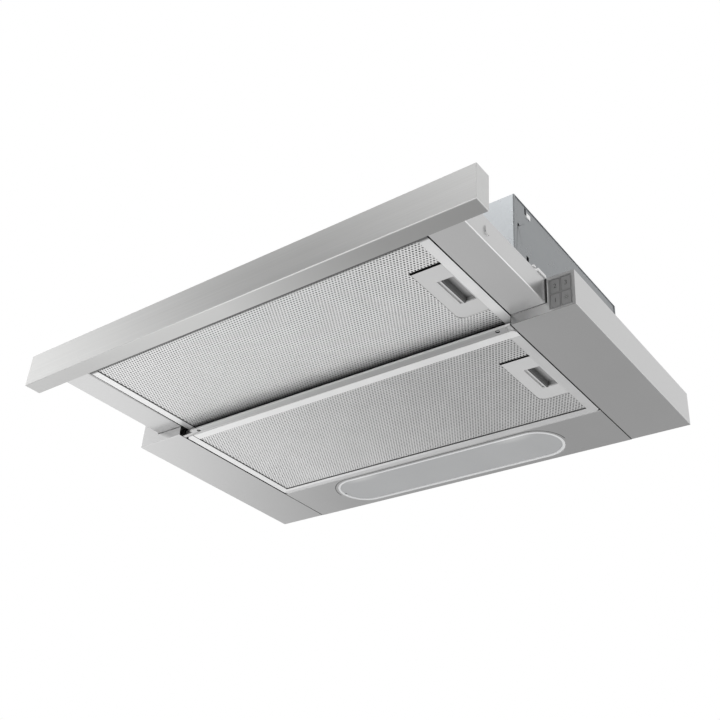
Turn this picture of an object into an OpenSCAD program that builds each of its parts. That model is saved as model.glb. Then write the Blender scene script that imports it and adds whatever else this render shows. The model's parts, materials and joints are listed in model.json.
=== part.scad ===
// Telescopic built-in range hood, seen from below: a fixed tray with a lamp panel and a grease
// filter, a pull-out drawer with a second filter and a fascia, and a galvanised blower housing.
// Sizes are in millimetres. The pieces are drawn from the tray's front edge (Y = 0, +Y to the wall)
// and from its underside (Z = 0), then moved so that the origin is under the middle of the hood.

/* [Tray] */
// Width of the tray and of the fascia
body_w = 600; // [580:1:640]
// Depth of the fixed tray
tray_d = 280; // [276:1:300]
// Height of the tray and of the fascia
tray_h = 40; // [40:0.5:46]
// Width of the underside of each cheek
cheek_w = 70; // [70:0.5:76]
// Width of the full-height part of a cheek's front face
cheek_face_w = 29.4; // [28.4:0.2:30]
// Height of the sill under the drawer's sides
sill_h = 11; // [10.6:0.1:11.6]
// Depth of the front rail's underside
rail_d = 10; // [9.5:0.5:13]
// Depth of the lamp panel behind the fixed filter
lamp_panel_d = 80.5; // [80:0.5:86]
// Thickness of the tray's sheet
tray_sheet = 1; // [0.8:0.1:1.2]
// Thickness of the galvanised sheet
zinc_sheet = 0.8; // [0.6:0.1:1]

/* [Drawer] */
// How far the drawer stands out of the tray
pull_out = 158; // [150:1:160]
// Depth of the fascia bar
fascia_t = 20; // [16:1:28]
// Thickness of the fascia's stainless sheet
fascia_sheet = 1; // [0.8:0.1:1.5]
// Thickness of the fascia's back plate
fascia_back_t = 2; // [1.5:0.1:3]
// Thickness of the drawer's sheet
drawer_sheet = 0.8; // [0.6:0.1:1]
// Room left behind the shut drawer
drawer_rear_room = 22; // [22:1:26]
// Gap between a drawer side and the cheek's face
mouth_gap = 1.6; // [1.2:0.1:2]
// Gap left between the fascia and the tray when the drawer is shut
shut_gap = 0.5; // [0.4:0.1:1]

/* [Filters] */
// Width of the visible face of a filter's frame
filter_bar = 11; // [9:0.5:13]
// Height of a filter cassette
filter_h = 9.5; // [9:0.1:9.8]
// Radius of a filter's corners
filter_corner_r = 6; // [4:0.5:8]
// Thickness of the filter frame's aluminium
filter_sheet = 0.8; // [0.6:0.1:1]
// Width of a latch plate
plate_w = 35; // [34:0.5:38]
// Length of a latch plate
plate_d = 86; // [80:1:96]
// Length of the finger recess in the latch
recess_d = 42; // [38:1:46]
// Travel of a filter latch
latch_travel = 3; // [2.5:0.5:4]

/* [Runners] */
// Height of the fixed runner member
runner_h = 24; // [23:0.5:24]
// Overall thickness of a runner
runner_t = 10; // [9.5:0.5:11]
// Diameter of a runner ball
ball_d = 3.5; // [3.2:0.1:3.6]
// Thickness of the runner's steel
runner_sheet = 1.2; // [1:0.1:1.4]

/* [Blower] */
// Height of the blower housing's top above the tray's underside
housing_top = 175; // [172:1:190]
// Distance from the hood's side to the blower housing
housing_inset = 69; // [64:1:74]
// Distance from the tray's front edge to the housing
housing_front = 10; // [8:1:14]
// Depth of the blower housing
housing_d = 250; // [244:1:257]
// Outer radius of the blower wheel
wheel_r = 48; // [44:1:48]
// Length of one row of blades
wheel_row_l = 54; // [44:1:54]
// Number of blades in one row
wheel_blades = 36; // [24:1:40]
// Depth of a blade from the wheel's edge
blade_depth = 9; // [7:0.5:10]
// Wall of the moulded scroll
scroll_wall = 2; // [1.6:0.1:2.4]
// Radius of the motor's stack corners from its axis
motor_half_w = 35; // [33:0.5:36]
// Length of the motor's laminated stack
stack_l = 28; // [22:1:32]
// Radius of the motor shaft
shaft_r = 4; // [3:0.5:4]

/* [Outlet] */
// Outer radius of the outlet collar
collar_r = 74.5; // [72:0.5:74.5]
// Height of the outlet collar's tube
collar_h = 46; // [40:1:60]
// Wall of the outlet collar
collar_wall = 2.2; // [2:0.1:2.6]

/* [Lamp] */
// Length of the lamp lens
lens_l = 324; // [300:1:340]
// Width of the lamp lens
lens_w = 66.4; // [62:0.2:68]
// Radius of a lamp's glass
bulb_r = 13; // [11:0.5:13]
// Length of a lamp's glass tube without its round end
bulb_l = 66; // [50:1:70]

/* [Controls] */
// Width of the button field
buttons_w = 24.5; // [23.5:0.1:24.6]
// Height of the button field
buttons_h = 35; // [32:0.5:35]
// Travel of a button
button_travel = 2.5; // [1.5:0.1:3]

/* [Hidden] */
$fn = 64;

// Overrun of every cut and the usual gaps
over = 0.5;
seam = 0.5;
slide_gap = 0.5;
fit_gap = 0.05;

// Tray
half_w = body_w / 2;
bay_x = half_w - cheek_w;
mouth_x = half_w - cheek_face_w;
centre_y = (tray_d - pull_out - fascia_t) / 2;
drawer_tail = tray_d - pull_out - drawer_rear_room;
housing_half_w = half_w - housing_inset;
top_flange_w = 22;
plate_edge = 16;
rail_hem_h = 2.2;
rail_lip_h = 9.5;
rail_hole_r = 1.6;
rail_hole_in_right = 16.5;
rail_hole_in_left = 28;
rail_hole_y = 4.2;
rail_notch_w = 6;
rail_notch_in = 1;
rail_end_l = 17;
rail_end_d = 5;
cabinet_hole_r = 2.5;
cabinet_hole_in = 8;
cabinet_hole_share = 0.2;

// Drawer
drawer_x = mouth_x - mouth_gap;
drawer_z = sill_h + slide_gap;
drawer_top_z = tray_h - slide_gap;
side_in_x = bay_x + seam;
travel = pull_out - shut_gap;
top_sheet_rear = 2;
top_sheet_flange = 8;
rear_bar_t = 6;
boss_y = 110;
boss_w = 8;
boss_h = 11;
boss_out = 1.5;

// Filter cassettes, drawn from their own front edge, middle and underside
bay_gap = 0.5;
filter_side_gap = 1;
drawer_filter_gap = 2.5;
filter_w = 2 * (bay_x - filter_side_gap);
filter_d = tray_d - rail_d - lamp_panel_d - 2 * bay_gap;
fixed_filter_y = rail_d + bay_gap;
drawer_filter_y = drawer_filter_gap - pull_out;
bar_lip = 6;
mesh_gap = 0.3;
mesh_z = 1.5;
plate_corner_r = 8;
plate_set = 1;
plate_t = 1.7;
plate_slot_w = 2.5;
filter_fold_r = 1.2;
plate_rim_t = 2;
recess_w = 11;
recess_lip = 3.4;
latch_floor_t = 1.5;
latch_set = 0.2;
latch_corner_r = 2.4;
latch_web_t = 1;
latch_bolt_d = 12;
tab_l = 4;
tab_w = 18;
tab_t = 2;
tab_z = 3;
tab_in = 30;
tab_play = 0.5;
tab_swing_up = 3.5;
tab_swing_down = 1;
plate_x1 = filter_w / 2 - filter_bar;
plate_x0 = plate_x1 - plate_w;
plate_x2 = filter_w / 2 - filter_sheet - mesh_gap;
plate_y0 = (filter_d - plate_d) / 2;
latch_x1 = plate_x1 - plate_rim_t - slide_gap;
latch_x0 = latch_x1 - recess_w - recess_lip;
latch_web_x0 = latch_x0 - latch_travel - slide_gap;
latch_pocket_x0 = latch_web_x0 - latch_travel - slide_gap;
latch_z1 = filter_h - filter_sheet - mesh_gap;
latch_z0 = latch_z1 - latch_floor_t;
bolt_z0 = 4;
latch_y0 = filter_d / 2 - recess_d / 2 - recess_lip;

// Runners: the fixed member hangs from the top plate inside the drawer's side channel
runner_z = (drawer_z + drawer_top_z) / 2;
runner_x1 = drawer_x - drawer_sheet;
runner_x0 = runner_x1 - runner_t;
runner_end_gap = 2;
runner_front = 8;
runner_rear = pull_out + drawer_tail - runner_end_gap;
runner_gap = 0.3;
race_bite = 0.5;
race_play = 0.3;
cage_t = 0.8;
ball_z = runner_h / 2 - runner_sheet - ball_d / 2 + race_bite;
ball_x = runner_x0 + runner_t / 2;
inner_h = 2 * ball_z - ball_d + 2 * race_bite;
cage_x = runner_x0 + runner_sheet + slide_gap;
inner_x = cage_x + cage_t + runner_gap;
cage_play = 0.1;
cage_end = 1;
balls_in_row = 6;
hanger_flange_w = 16;
end_tab_gap = 1;
end_tab_drop = 1.3;

// White glides over the drawer's sides at the tray's mouth
glide_w = 12;
glide_back = 8;
glide_front = 24;
glide_arm_t = 1.4;
glide_lift = 0.4;
glide_lug_l = 15;
glide_lug_h = 3.6;
glide_nub_l = 4;
glide_nub_h = 2;
glide_lug_w = 2;

// Housing
housing_z = tray_h + zinc_sheet;
housing_back = housing_front + housing_d;
wall_x = housing_half_w - zinc_sheet;
fold_w = 3;
foot_w = 12;
plate_frame = 16;
slot_w = 3;
slot_y = 26;
upper_slot_drop = 2;
upper_slot_h = 9;
lower_slot_w = 5;
lower_slot_y = 29;
lower_slot_drop = 66.5;
lower_slot_h = 14;
pad_w = 8;
pad_h = 6;
pad_out = 0.9;
side_hole_y = 10.4;
side_hole_drop = 35.6;
side_hole_r = 2;
screw_r = 2;
screw_play = 0.15;
screw_head_r = 4;
screw_head_h = 2;
screw_l = 5;
rivet_r = 1.6;
rivet_head_r = 3;
rivet_head_h = 0.8;
rivet_l = 2 * zinc_sheet;

// Blower scroll: a logarithmic spiral that opens into an upright outlet
wheel_gap = 6;
tongue_deg = 75;
spiral_growth_share = 0.0687;
spiral_steps = 38;
scroll_drop = 6;
scroll_r0 = wheel_r + wheel_gap;
function spiral_r(a) = scroll_r0 * exp(spiral_growth_share * (a - tongue_deg) * PI / 180);
scroll_end_r = spiral_r(360);
scroll_foot_r = spiral_r(270) + scroll_wall;
wheel_z = housing_z + scroll_drop + scroll_foot_r;
outlet_y0 = scroll_r0 * cos(tongue_deg);
outlet_d = scroll_end_r - outlet_y0;
collar_y = (housing_front + housing_back) / 2;
wheel_y = collar_y - (outlet_y0 + scroll_end_r) / 2;
wheel_side_gap = 2;
wheel_disc_t = 1.6;
wheel_ring_t = 1.5;
wheel_ring_w = 3.5;
wheel_half_l = wheel_row_l + wheel_disc_t / 2;
scroll_half_w = wheel_half_l + wheel_side_gap + scroll_wall;
scroll_flange_t = 2;
scroll_flange_w = 9;
inlet_r = wheel_r - blade_depth + 3;
inlet_lip_l = 4;
inlet_lip_t = 3;
hub_r = 9;
hub_l = 20;
blade_t = 0.8;
blade_sweep = 24;
blade_steps = 5;

// Motor, carried at the right inlet on three legs
inlet_room = 22;
motor_x = scroll_half_w + inlet_room;
cap_l = 12;
cap_wall = 1.6;
cap_r = motor_half_w - 1.5;
cap_boss_r = 9;
stack_corner_r = 8;
rotor_r = 19.6;
rotor_gap = 0.4;
coil_r0 = 22;
coil_r1 = 30;
coil_l = 7;
bracket_t = 1.6;
bracket_ring_w = 7;
leg_w = 12;
leg_gap = 2.5;
leg_r = inlet_r + inlet_lip_t + leg_gap;
leg_foot = 9;
leg_turn = 120;

// Electrics
capacitor_r = 15;
capacitor_l = 55;
capacitor_stud_r = 4;
capacitor_drop = 90;
box_side_gap = 8.2;
box_w = 72;
box_x0 = box_side_gap - wall_x;
box_depth = 50;
box_h = 46;
box_drop = 8;
box_wall = 2;
lid_t = 2;
gland_x = box_x0 + box_w / 2;
gland_r = 8;
gland_nut_r = 12;
gland_nut_t = 4;
gland_dome_r = 9.5;
gland_dome_h = 12;
cable_r = 4;
gland_back = 27;

// Outlet collar and its two non-return flaps
collar_flange_w = 17;
collar_flange_t = 2.5;
collar_screw_in = 8;
collar_lead = 2;
ledge_w = 5;
ledge_t = 2;
ledge_z = 6;
flap_t = 1.5;
flap_gap = 0.7;
flap_rest_gap = 0.3;
flap_hinge_in = 4.5;
pin_r = 1.5;
barrel_r = 3;
barrel_share = 0.3;
pin_boss_r = 4;
pin_boss_l = 5;
flap_z = housing_top + collar_flange_t + ledge_z + ledge_t + flap_rest_gap + flap_t / 2;

// Lamp
lens_back = 41;
lens_y = tray_d - lens_back;
lens_play = 0.2;
lens_flange = 3;
lens_t = 2.6;
lens_rim_w = 3;
lens_face_set = 0.9;
lens_face_t = 1.4;
pry_slot_w = 1.6;
pry_slot_l = 3;
reflector_end = 12;
reflector_side = 4.6;
reflector_h = 36;
reflector_sheet = 0.8;
bulb_z = 19;
bulb_base_x = 34;
holder_l = 24;
holder_wall = 3.5;
bulb_base_r = 8;
bulb_base_l = 20;
bulb_neck_l = 14;

// Controls in the right cheek's front face
control_margin = 2;
bezel_t = 1.5;
button_gap = 0.35;
bezel_bar = 1;
button_set = 0.2;
button_l = 8;
block_y = 11.2;
block_l = 30;
block_set = 1;
stem_r = 2;
stem_l = 6;
stem_play = 0.1;

// Switch that the drawer's left side presses when it is shut
switch_w = 18;
switch_h = 14;
plunger_r = 2;
plunger_out = 4;
plunger_in = 5;
switch_gap = 0.4;
plunger_travel = 1.5;

zinc = "LightSlateGray";
painted = "Silver";
bright = "Gainsboro";

// A box between two corners
module block(x0, x1, y0, y1, z0, z1) {
    translate([x0, y0, z0]) cube([x1 - x0, y1 - y0, z1 - z0]);
}

// From the tray's front edge to the hood's own origin
module placed() {
    translate([0, -centre_y, 0]) children();
}

// A flat outline in Y and Z, drawn out along X
module along_x(x0, x1) {
    translate([x0, 0, 0]) rotate([90, 0, 90]) linear_extrude(x1 - x0) children();
}

// A flat outline in X and Z, drawn out along Y
module along_y(y0, y1) {
    translate([0, y1, 0]) rotate([90, 0, 0]) linear_extrude(y1 - y0) children();
}

// A round bar along X about the point Y, Z
module rod_x(x0, x1, y, z, r) {
    translate([x0, y, z]) rotate([0, 90, 0]) cylinder(h = x1 - x0, r = r);
}

// A round bar along Y about the point X, Z
module rod_y(y0, y1, x, z, r) {
    translate([x, y1, z]) rotate([90, 0, 0]) cylinder(h = y1 - y0, r = r);
}

// A flat outline with two round ends, long in X
module stadium(l, w) {
    square([l - w, w], center = true);
    for (s = [-1, 1]) translate([s * (l - w) / 2, 0]) circle(d = w);
}

// A flat rectangle with four round corners
module round_rect(w, d, r) {
    square([w - 2 * r, d], center = true);
    square([w, d - 2 * r], center = true);
    for (x = [-1, 1], y = [-1, 1]) {
        translate([x * (w / 2 - r), y * (d / 2 - r)]) circle(r);
    }
}

// A sheet-metal screw, head up, with its head's underside at the origin
module screw(l) {
    cylinder(h = screw_head_h, r = screw_head_r);
    translate([0, 0, -l]) cylinder(h = l, r = screw_r);
}

// The hole that a screw passes through
module screw_hole(l) {
    translate([0, 0, -l - over]) cylinder(h = l + 2 * over, r = screw_r + screw_play);
}

// Right cheek without its button field: an open-topped folded box
module cheek_shell() {
    difference() {
        block(bay_x, half_w, 0, tray_d, 0, tray_h);
        block(bay_x + tray_sheet, half_w - tray_sheet, tray_sheet, tray_d - tray_sheet,
            tray_sheet, tray_h - tray_sheet);
        block(bay_x + tray_sheet, half_w - top_flange_w, tray_sheet, tray_d - tray_sheet,
            tray_h - tray_sheet - over, tray_h + over);
        block(bay_x - over, bay_x + tray_sheet + over, -over, tray_d - tray_sheet,
            sill_h, tray_h + over);
        block(bay_x - over, mouth_x, -over, tray_sheet + over, sill_h, tray_h + over);
        for (share = [cabinet_hole_share, 1 - cabinet_hole_share]) {
            translate([half_w - cabinet_hole_in, tray_d * share, tray_h - tray_sheet - over])
                cylinder(h = tray_sheet + 2 * over, r = cabinet_hole_r);
        }
    }
}

// Slots in a sheet beside a filter's left edge, where the filter's tabs hook in and turn
module tab_slots(x_outer, y, z) {
    for (at = [tab_in, filter_d - tab_in - tab_w]) {
        block(x_outer - over, x_outer + tab_l, y + at - tab_play, y + at + tab_w + tab_play,
            z + tab_z - tab_swing_down, z + tab_z + tab_t + tab_swing_up);
    }
}

// Slot in a sheet beside a filter's right edge, where the latch bolt would enter
module bolt_slot(x_inner, y, z) {
    block(x_inner - over, x_inner + tab_l, y + filter_d / 2 - latch_bolt_d / 2 - tab_play,
        y + filter_d / 2 + latch_bolt_d / 2 + tab_play, z + bolt_z0 - tab_play, z + latch_z1 + tab_play);
}

module cheek_left() {
    color(painted) placed() difference() {
        mirror([1, 0, 0]) cheek_shell();
        tab_slots(-bay_x - tray_sheet, fixed_filter_y, 0);
    }
}

module cheek_right() {
    color(painted) placed() difference() {
        cheek_shell();
        bolt_slot(bay_x, fixed_filter_y, 0);
        block(mouth_x + control_margin, mouth_x + control_margin + buttons_w, -over,
            tray_sheet + over, control_margin, control_margin + buttons_h);
    }
}

// Folded strip in front of the fixed filter, under the drawer
module front_rail() {
    x = bay_x - seam;
    color(painted) placed() difference() {
        union() {
            block(-x, x, 0, rail_d, 0, tray_sheet);
            block(-x, x, 0, tray_sheet, 0, rail_hem_h);
            block(-x, x, rail_d - tray_sheet, rail_d, 0, rail_lip_h);
        }
        for (hole_x = [rail_hole_in_left - x, x - rail_hole_in_right]) {
            translate([hole_x, rail_hole_y, -over])
                cylinder(h = tray_sheet + 2 * over, r = rail_hole_r);
        }
        block(x - rail_notch_in - rail_notch_w, x - rail_notch_in, rail_d / 2 - rail_notch_w / 2,
            rail_d / 2 + rail_notch_w / 2, -over, tray_sheet + over);
        block(-x - over, rail_end_l - x, -over, rail_end_d, -over, rail_hem_h + over);
    }
}

// Rear part of the tray's underside, with the lamp's cut-out
module lamp_panel() {
    x = bay_x - seam;
    y = tray_d - lamp_panel_d;
    color(painted) placed() difference() {
        union() {
            block(-x, x, y, tray_d, 0, tray_sheet);
            block(-x, x, y, y + tray_sheet, 0, rail_lip_h);
            block(-x, x, tray_d - tray_sheet, tray_d, 0, tray_h);
        }
        translate([0, lens_y, -over]) linear_extrude(tray_sheet + 2 * over) stadium(lens_l, lens_w);
    }
}

// A blind rivet, head up, with its head's underside at the origin
module rivet() {
    cylinder(h = rivet_head_h, r = rivet_head_r);
    translate([0, 0, -rivet_l]) cylinder(h = rivet_l, r = rivet_r);
}

// The hole that a rivet fills
module rivet_hole() {
    translate([0, 0, -rivet_l - over]) cylinder(h = rivet_l + 2 * over, r = rivet_r + fit_gap);
}

// Places of the rivets that hold the housing's side feet to the top plate
module at_foot_rivets() {
    for (s = [-1, 1], share = [0.12, 0.5, 0.88]) {
        translate([s * (wall_x - foot_w / 2), housing_front + housing_d * share, housing_z + zinc_sheet])
            children();
    }
}

// Galvanised plate that closes the tray around the housing
module top_plate() {
    x = half_w - plate_edge;
    color(zinc) placed() difference() {
        block(-x, x, seam, tray_d - seam, tray_h, housing_z);
        block(-wall_x + plate_frame, wall_x - plate_frame, housing_front + plate_frame,
            housing_back - plate_frame, tray_h - over, housing_z + over);
        at_foot_rivets() rivet_hole();
    }
}

// Flat places of the outlet through the housing's top
module outlet_opening(z0, z1) {
    block(-scroll_half_w + scroll_wall, scroll_half_w - scroll_wall, wheel_y + outlet_y0,
        wheel_y + scroll_end_r, z0, z1);
}

// Places of the screws round the collar's flange
module at_collar_screws() {
    for (a = [0:90:270]) {
        translate([0, collar_y, housing_top + collar_flange_t]) rotate(a)
            translate([collar_r + collar_flange_w - collar_screw_in, 0, 0]) children();
    }
}

// Front, top and rear walls of the housing, folded round the two side panels
module housing_wrap() {
    x = housing_half_w;
    z = zinc_sheet;
    color(zinc) placed() difference() {
        union() {
            difference() {
                block(-x, x, housing_front, housing_back, housing_z, housing_top);
                block(-wall_x, wall_x, housing_front + z, housing_back - z, housing_z - over,
                    housing_top - z);
                block(-x - over, x + over, housing_front + fold_w, housing_back - fold_w,
                    housing_z - over, housing_top - z);
            }
            for (y = [housing_front, housing_back - foot_w]) {
                block(-wall_x + foot_w + seam, wall_x - foot_w - seam, y, y + foot_w, housing_z,
                    housing_z + z);
            }
        }
        outlet_opening(housing_top - z - over, housing_top + over);
        at_collar_screws() screw_hole(screw_l);
        translate([gland_x, housing_back - gland_back, housing_top - z - over])
            cylinder(h = z + 2 * over, r = gland_r + fit_gap);
    }
}

// Side panel of the housing, with slots and pressed pads for a cabinet bracket
module housing_side() {
    y = housing_front;
    difference() {
        union() {
            block(wall_x - zinc_sheet, wall_x, y + zinc_sheet, housing_back - zinc_sheet, housing_z,
                housing_top - zinc_sheet);
            block(wall_x - foot_w, wall_x, y + zinc_sheet, housing_back - zinc_sheet, housing_z,
                housing_z + zinc_sheet);
            block(wall_x, wall_x + pad_out, y + slot_y + slot_w / 2, y + slot_y + slot_w / 2 + pad_w,
                housing_top - upper_slot_drop - upper_slot_h - pad_h / 2,
                housing_top - upper_slot_drop - upper_slot_h + pad_h / 2);
        }
        block(wall_x - zinc_sheet - over, wall_x + over, y + slot_y - slot_w / 2, y + slot_y + slot_w / 2,
            housing_top - upper_slot_drop - upper_slot_h, housing_top - upper_slot_drop);
        block(wall_x - zinc_sheet - over, wall_x + over, y + lower_slot_y - lower_slot_w / 2,
            y + lower_slot_y + lower_slot_w / 2, housing_top - lower_slot_drop - lower_slot_h,
            housing_top - lower_slot_drop);
        rod_x(wall_x - zinc_sheet - over, wall_x + over, y + side_hole_y, housing_top - side_hole_drop,
            side_hole_r);
        at_foot_rivets() rivet_hole();
    }
}

module housing_side_left() {
    color(zinc) placed() mirror([1, 0, 0]) housing_side();
}

module housing_side_right() {
    color(zinc) placed() housing_side();
}

module housing_rivets() {
    color(bright) placed() at_foot_rivets() rivet();
}

// Outline of the scroll about the wheel's axis; grow is the wall outside the air's own space
module scroll_outline(grow, top) {
    start = grow > 0 ? acos((outlet_y0 - grow) / (scroll_r0 + grow)) : tongue_deg;
    spiral = [for (i = [0:spiral_steps])
        let (a = start + (360 - start) * i / spiral_steps)
        (spiral_r(a) + grow) * [cos(a), sin(a)]];
    polygon(concat(spiral, [[scroll_end_r + grow, top], [outlet_y0 - grow, top]]));
}

// One moulded half of the scroll: half of the spiral wall, a side plate with its inlet and a flange
module scroll_half() {
    top = housing_top - zinc_sheet - wheel_z;
    difference() {
        translate([0, wheel_y, wheel_z]) union() {
            along_x(0, scroll_half_w) scroll_outline(scroll_wall, top);
            rod_x(scroll_half_w - over, scroll_half_w + inlet_lip_l, 0, 0, inlet_r + inlet_lip_t);
            block(0, scroll_half_w + scroll_flange_w, outlet_y0 - scroll_wall - scroll_flange_w,
                scroll_end_r + scroll_wall + scroll_flange_w, top - scroll_flange_t, top);
        }
        translate([0, wheel_y, wheel_z]) {
            along_x(-over, scroll_half_w - scroll_wall) scroll_outline(0, top + over);
            rod_x(0, scroll_half_w + inlet_lip_l + over, 0, 0, inlet_r);
        }
    }
}

module scroll_right() {
    color("DimGray") placed() difference() {
        scroll_half();
        at_legs() rotate([0, 90, 0]) screw_hole(screw_l);
    }
}

module scroll_left() {
    color("DimGray") placed() mirror([1, 0, 0]) scroll_half();
}

// Places of the three leg screws on the right side plate, with X pointing along the motor's axis
module at_legs() {
    for (i = [0:2]) {
        translate([scroll_half_w, wheel_y, wheel_z]) rotate([leg_turn * i, 0, 0])
            translate([0, leg_r + bracket_t + leg_foot / 2, 0]) children();
    }
}

// Forward-curved blade between the wheel's inner and outer radius
module blade() {
    r0 = wheel_r - blade_depth;
    function at(t, side) =
        let (r = r0 + blade_depth * t, a = blade_sweep * pow(t, 1.6) + side * blade_t / r * 90 / PI)
        r * [cos(a), sin(a)];
    front = [for (i = [0:blade_steps]) at(i / blade_steps, 1)];
    back = [for (i = [blade_steps:-1:0]) at(i / blade_steps, -1)];
    polygon(concat(front, back));
}

// Double-inlet drum wheel: two rows of blades on one middle disc
module blower_wheel() {
    color("Gainsboro") placed() translate([0, wheel_y, wheel_z]) difference() {
        union() {
            along_x(-wheel_half_l, wheel_half_l) {
                for (i = [0:wheel_blades - 1]) rotate(360 * i / wheel_blades) blade();
            }
            rod_x(-wheel_disc_t / 2, wheel_disc_t / 2, 0, 0, wheel_r);
            rod_x(-hub_l / 2, hub_l / 2, 0, 0, hub_r);
            for (x = [-wheel_half_l, wheel_half_l - wheel_ring_t]) {
                difference() {
                    rod_x(x, x + wheel_ring_t, 0, 0, wheel_r + fit_gap);
                    rod_x(x - over, x + wheel_ring_t + over, 0, 0, wheel_r - wheel_ring_w);
                }
            }
        }
        rod_x(-hub_l, hub_l, 0, 0, shaft_r);
    }
}

// Shaft with the motor's squirrel-cage rotor on it
module motor_rotor() {
    stack_x = motor_x + cap_l;
    color("SlateGray") placed() translate([0, wheel_y, wheel_z]) {
        rod_x(-hub_l / 2, stack_x + stack_l + cap_l + cap_wall, 0, 0, shaft_r);
        rod_x(stack_x, stack_x + stack_l, 0, 0, rotor_r);
    }
}

// Laminated stack with the ends of its windings
module motor_stator() {
    x = motor_x + cap_l;
    color("DarkGray") placed() translate([0, wheel_y, wheel_z]) {
        difference() {
            along_x(x, x + stack_l) round_rect(2 * motor_half_w, 2 * motor_half_w, stack_corner_r);
            rod_x(x - over, x + stack_l + over, 0, 0, rotor_r + rotor_gap);
        }
        for (x0 = [x - coil_l, x + stack_l]) {
            difference() {
                rod_x(x0, x0 + coil_l, 0, 0, coil_r1);
                rod_x(x0 - over, x0 + coil_l + over, 0, 0, coil_r0);
            }
        }
    }
}

// Deep-drawn cap over one end of the motor, open towards +X
module motor_cap() {
    difference() {
        union() {
            rod_x(0, cap_l, 0, 0, cap_r);
            rod_x(-cap_wall, cap_l / 2, 0, 0, cap_boss_r);
        }
        difference() {
            rod_x(cap_wall, cap_l + over, 0, 0, cap_r - cap_wall);
            rod_x(0, cap_l / 2, 0, 0, cap_boss_r);
        }
        rod_x(-cap_wall - over, cap_l, 0, 0, shaft_r + fit_gap);
    }
}

module motor_end_caps() {
    color("LightGray") placed() translate([0, wheel_y, wheel_z]) {
        difference() {
            translate([motor_x, 0, 0]) motor_cap();
            at_cap_screws() rotate([0, -90, 0]) screw_hole(screw_l);
        }
        translate([motor_x + 2 * cap_l + stack_l, 0, 0]) mirror([1, 0, 0]) motor_cap();
    }
}

// Places of the screws that hold the motor's front cap to the bracket ring
module at_cap_screws() {
    for (i = [0:2]) {
        rotate([leg_turn * (i + 0.5), 0, 0])
            translate([motor_x, cap_r - bracket_ring_w / 2 - cap_wall, 0]) children();
    }
}

// Pressed bracket: a ring on the motor's front cap and three legs down to the scroll's side
module motor_bracket() {
    x = motor_x - bracket_t;
    ring_r = cap_r - cap_wall;
    color(zinc) placed() difference() {
        translate([0, wheel_y, wheel_z]) {
            difference() {
                rod_x(x, motor_x, 0, 0, ring_r);
                rod_x(x - over, motor_x + over, 0, 0, ring_r - bracket_ring_w);
                at_cap_screws() rotate([0, -90, 0]) translate([0, 0, bracket_t])
                    screw_hole(bracket_t);
            }
            for (i = [0:2]) rotate([leg_turn * i, 0, 0]) {
                block(x, motor_x, ring_r - bracket_ring_w / 2, leg_r + bracket_t, -leg_w / 2, leg_w / 2);
                block(scroll_half_w, motor_x, leg_r, leg_r + bracket_t, -leg_w / 2, leg_w / 2);
                block(scroll_half_w, scroll_half_w + bracket_t, leg_r, leg_r + bracket_t + leg_foot,
                    -leg_w / 2, leg_w / 2);
            }
        }
        at_legs() rotate([0, 90, 0]) translate([0, 0, bracket_t]) screw_hole(bracket_t);
    }
}

// The screws of the motor's bracket and of the outlet collar
module casing_screws() {
    color(bright) placed() {
        at_legs() rotate([0, 90, 0]) translate([0, 0, bracket_t]) screw(screw_l);
        translate([0, wheel_y, wheel_z]) at_cap_screws() rotate([0, -90, 0])
            translate([0, 0, bracket_t]) screw(screw_l);
        at_collar_screws() screw(screw_l);
    }
}

module capacitor() {
    y = housing_back - zinc_sheet;
    z = housing_top - capacitor_drop;
    color("White") placed() {
        rod_y(y - capacitor_l, y - zinc_sheet, gland_x, z, capacitor_r);
        rod_y(y - zinc_sheet - over, y, gland_x, z, capacitor_stud_r);
    }
}

// Open-fronted moulded box on the housing's rear wall
module terminal_box() {
    y1 = housing_back - zinc_sheet;
    z1 = housing_top - box_drop;
    color("DimGray") placed() difference() {
        block(box_x0, box_x0 + box_w, y1 - box_depth, y1, z1 - box_h, z1);
        block(box_x0 + box_wall, box_x0 + box_w - box_wall, y1 - box_depth - over, y1 - box_wall,
            z1 - box_h + box_wall, z1 - box_wall);
        translate([gland_x, housing_back - gland_back, z1 - box_wall - over])
            cylinder(h = box_wall + 2 * over, r = cable_r + seam);
    }
}

module terminal_lid() {
    y = housing_back - zinc_sheet - box_depth;
    z1 = housing_top - box_drop;
    color("SlateGray") placed() {
        block(box_x0, box_x0 + box_w, y - lid_t, y, z1 - box_h, z1);
        block(box_x0 + box_wall + seam, box_x0 + box_w - box_wall - seam, y - over, y + lid_t,
            z1 - box_h + box_wall + seam, z1 - box_wall - seam);
    }
}

// Screwed gland where the mains lead enters
module cable_gland() {
    y = housing_back - gland_back;
    z = housing_top;
    color("DimGray") placed() translate([gland_x, y, 0]) difference() {
        union() {
            translate([0, 0, z - zinc_sheet - gland_nut_t])
                cylinder(h = gland_nut_t, r = gland_nut_r, $fn = 6);
            translate([0, 0, z - zinc_sheet - gland_nut_t])
                cylinder(h = gland_nut_t + 2 * zinc_sheet, r = gland_r);
            translate([0, 0, z]) cylinder(h = gland_nut_t, r = gland_nut_r, $fn = 6);
            translate([0, 0, z + gland_nut_t - fit_gap]) cylinder(h = gland_dome_h, r = gland_dome_r);
        }
        translate([0, 0, z - zinc_sheet - gland_nut_t - over])
            cylinder(h = 2 * gland_nut_t + gland_dome_h + zinc_sheet + 2 * over, r = cable_r);
    }
}

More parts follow.
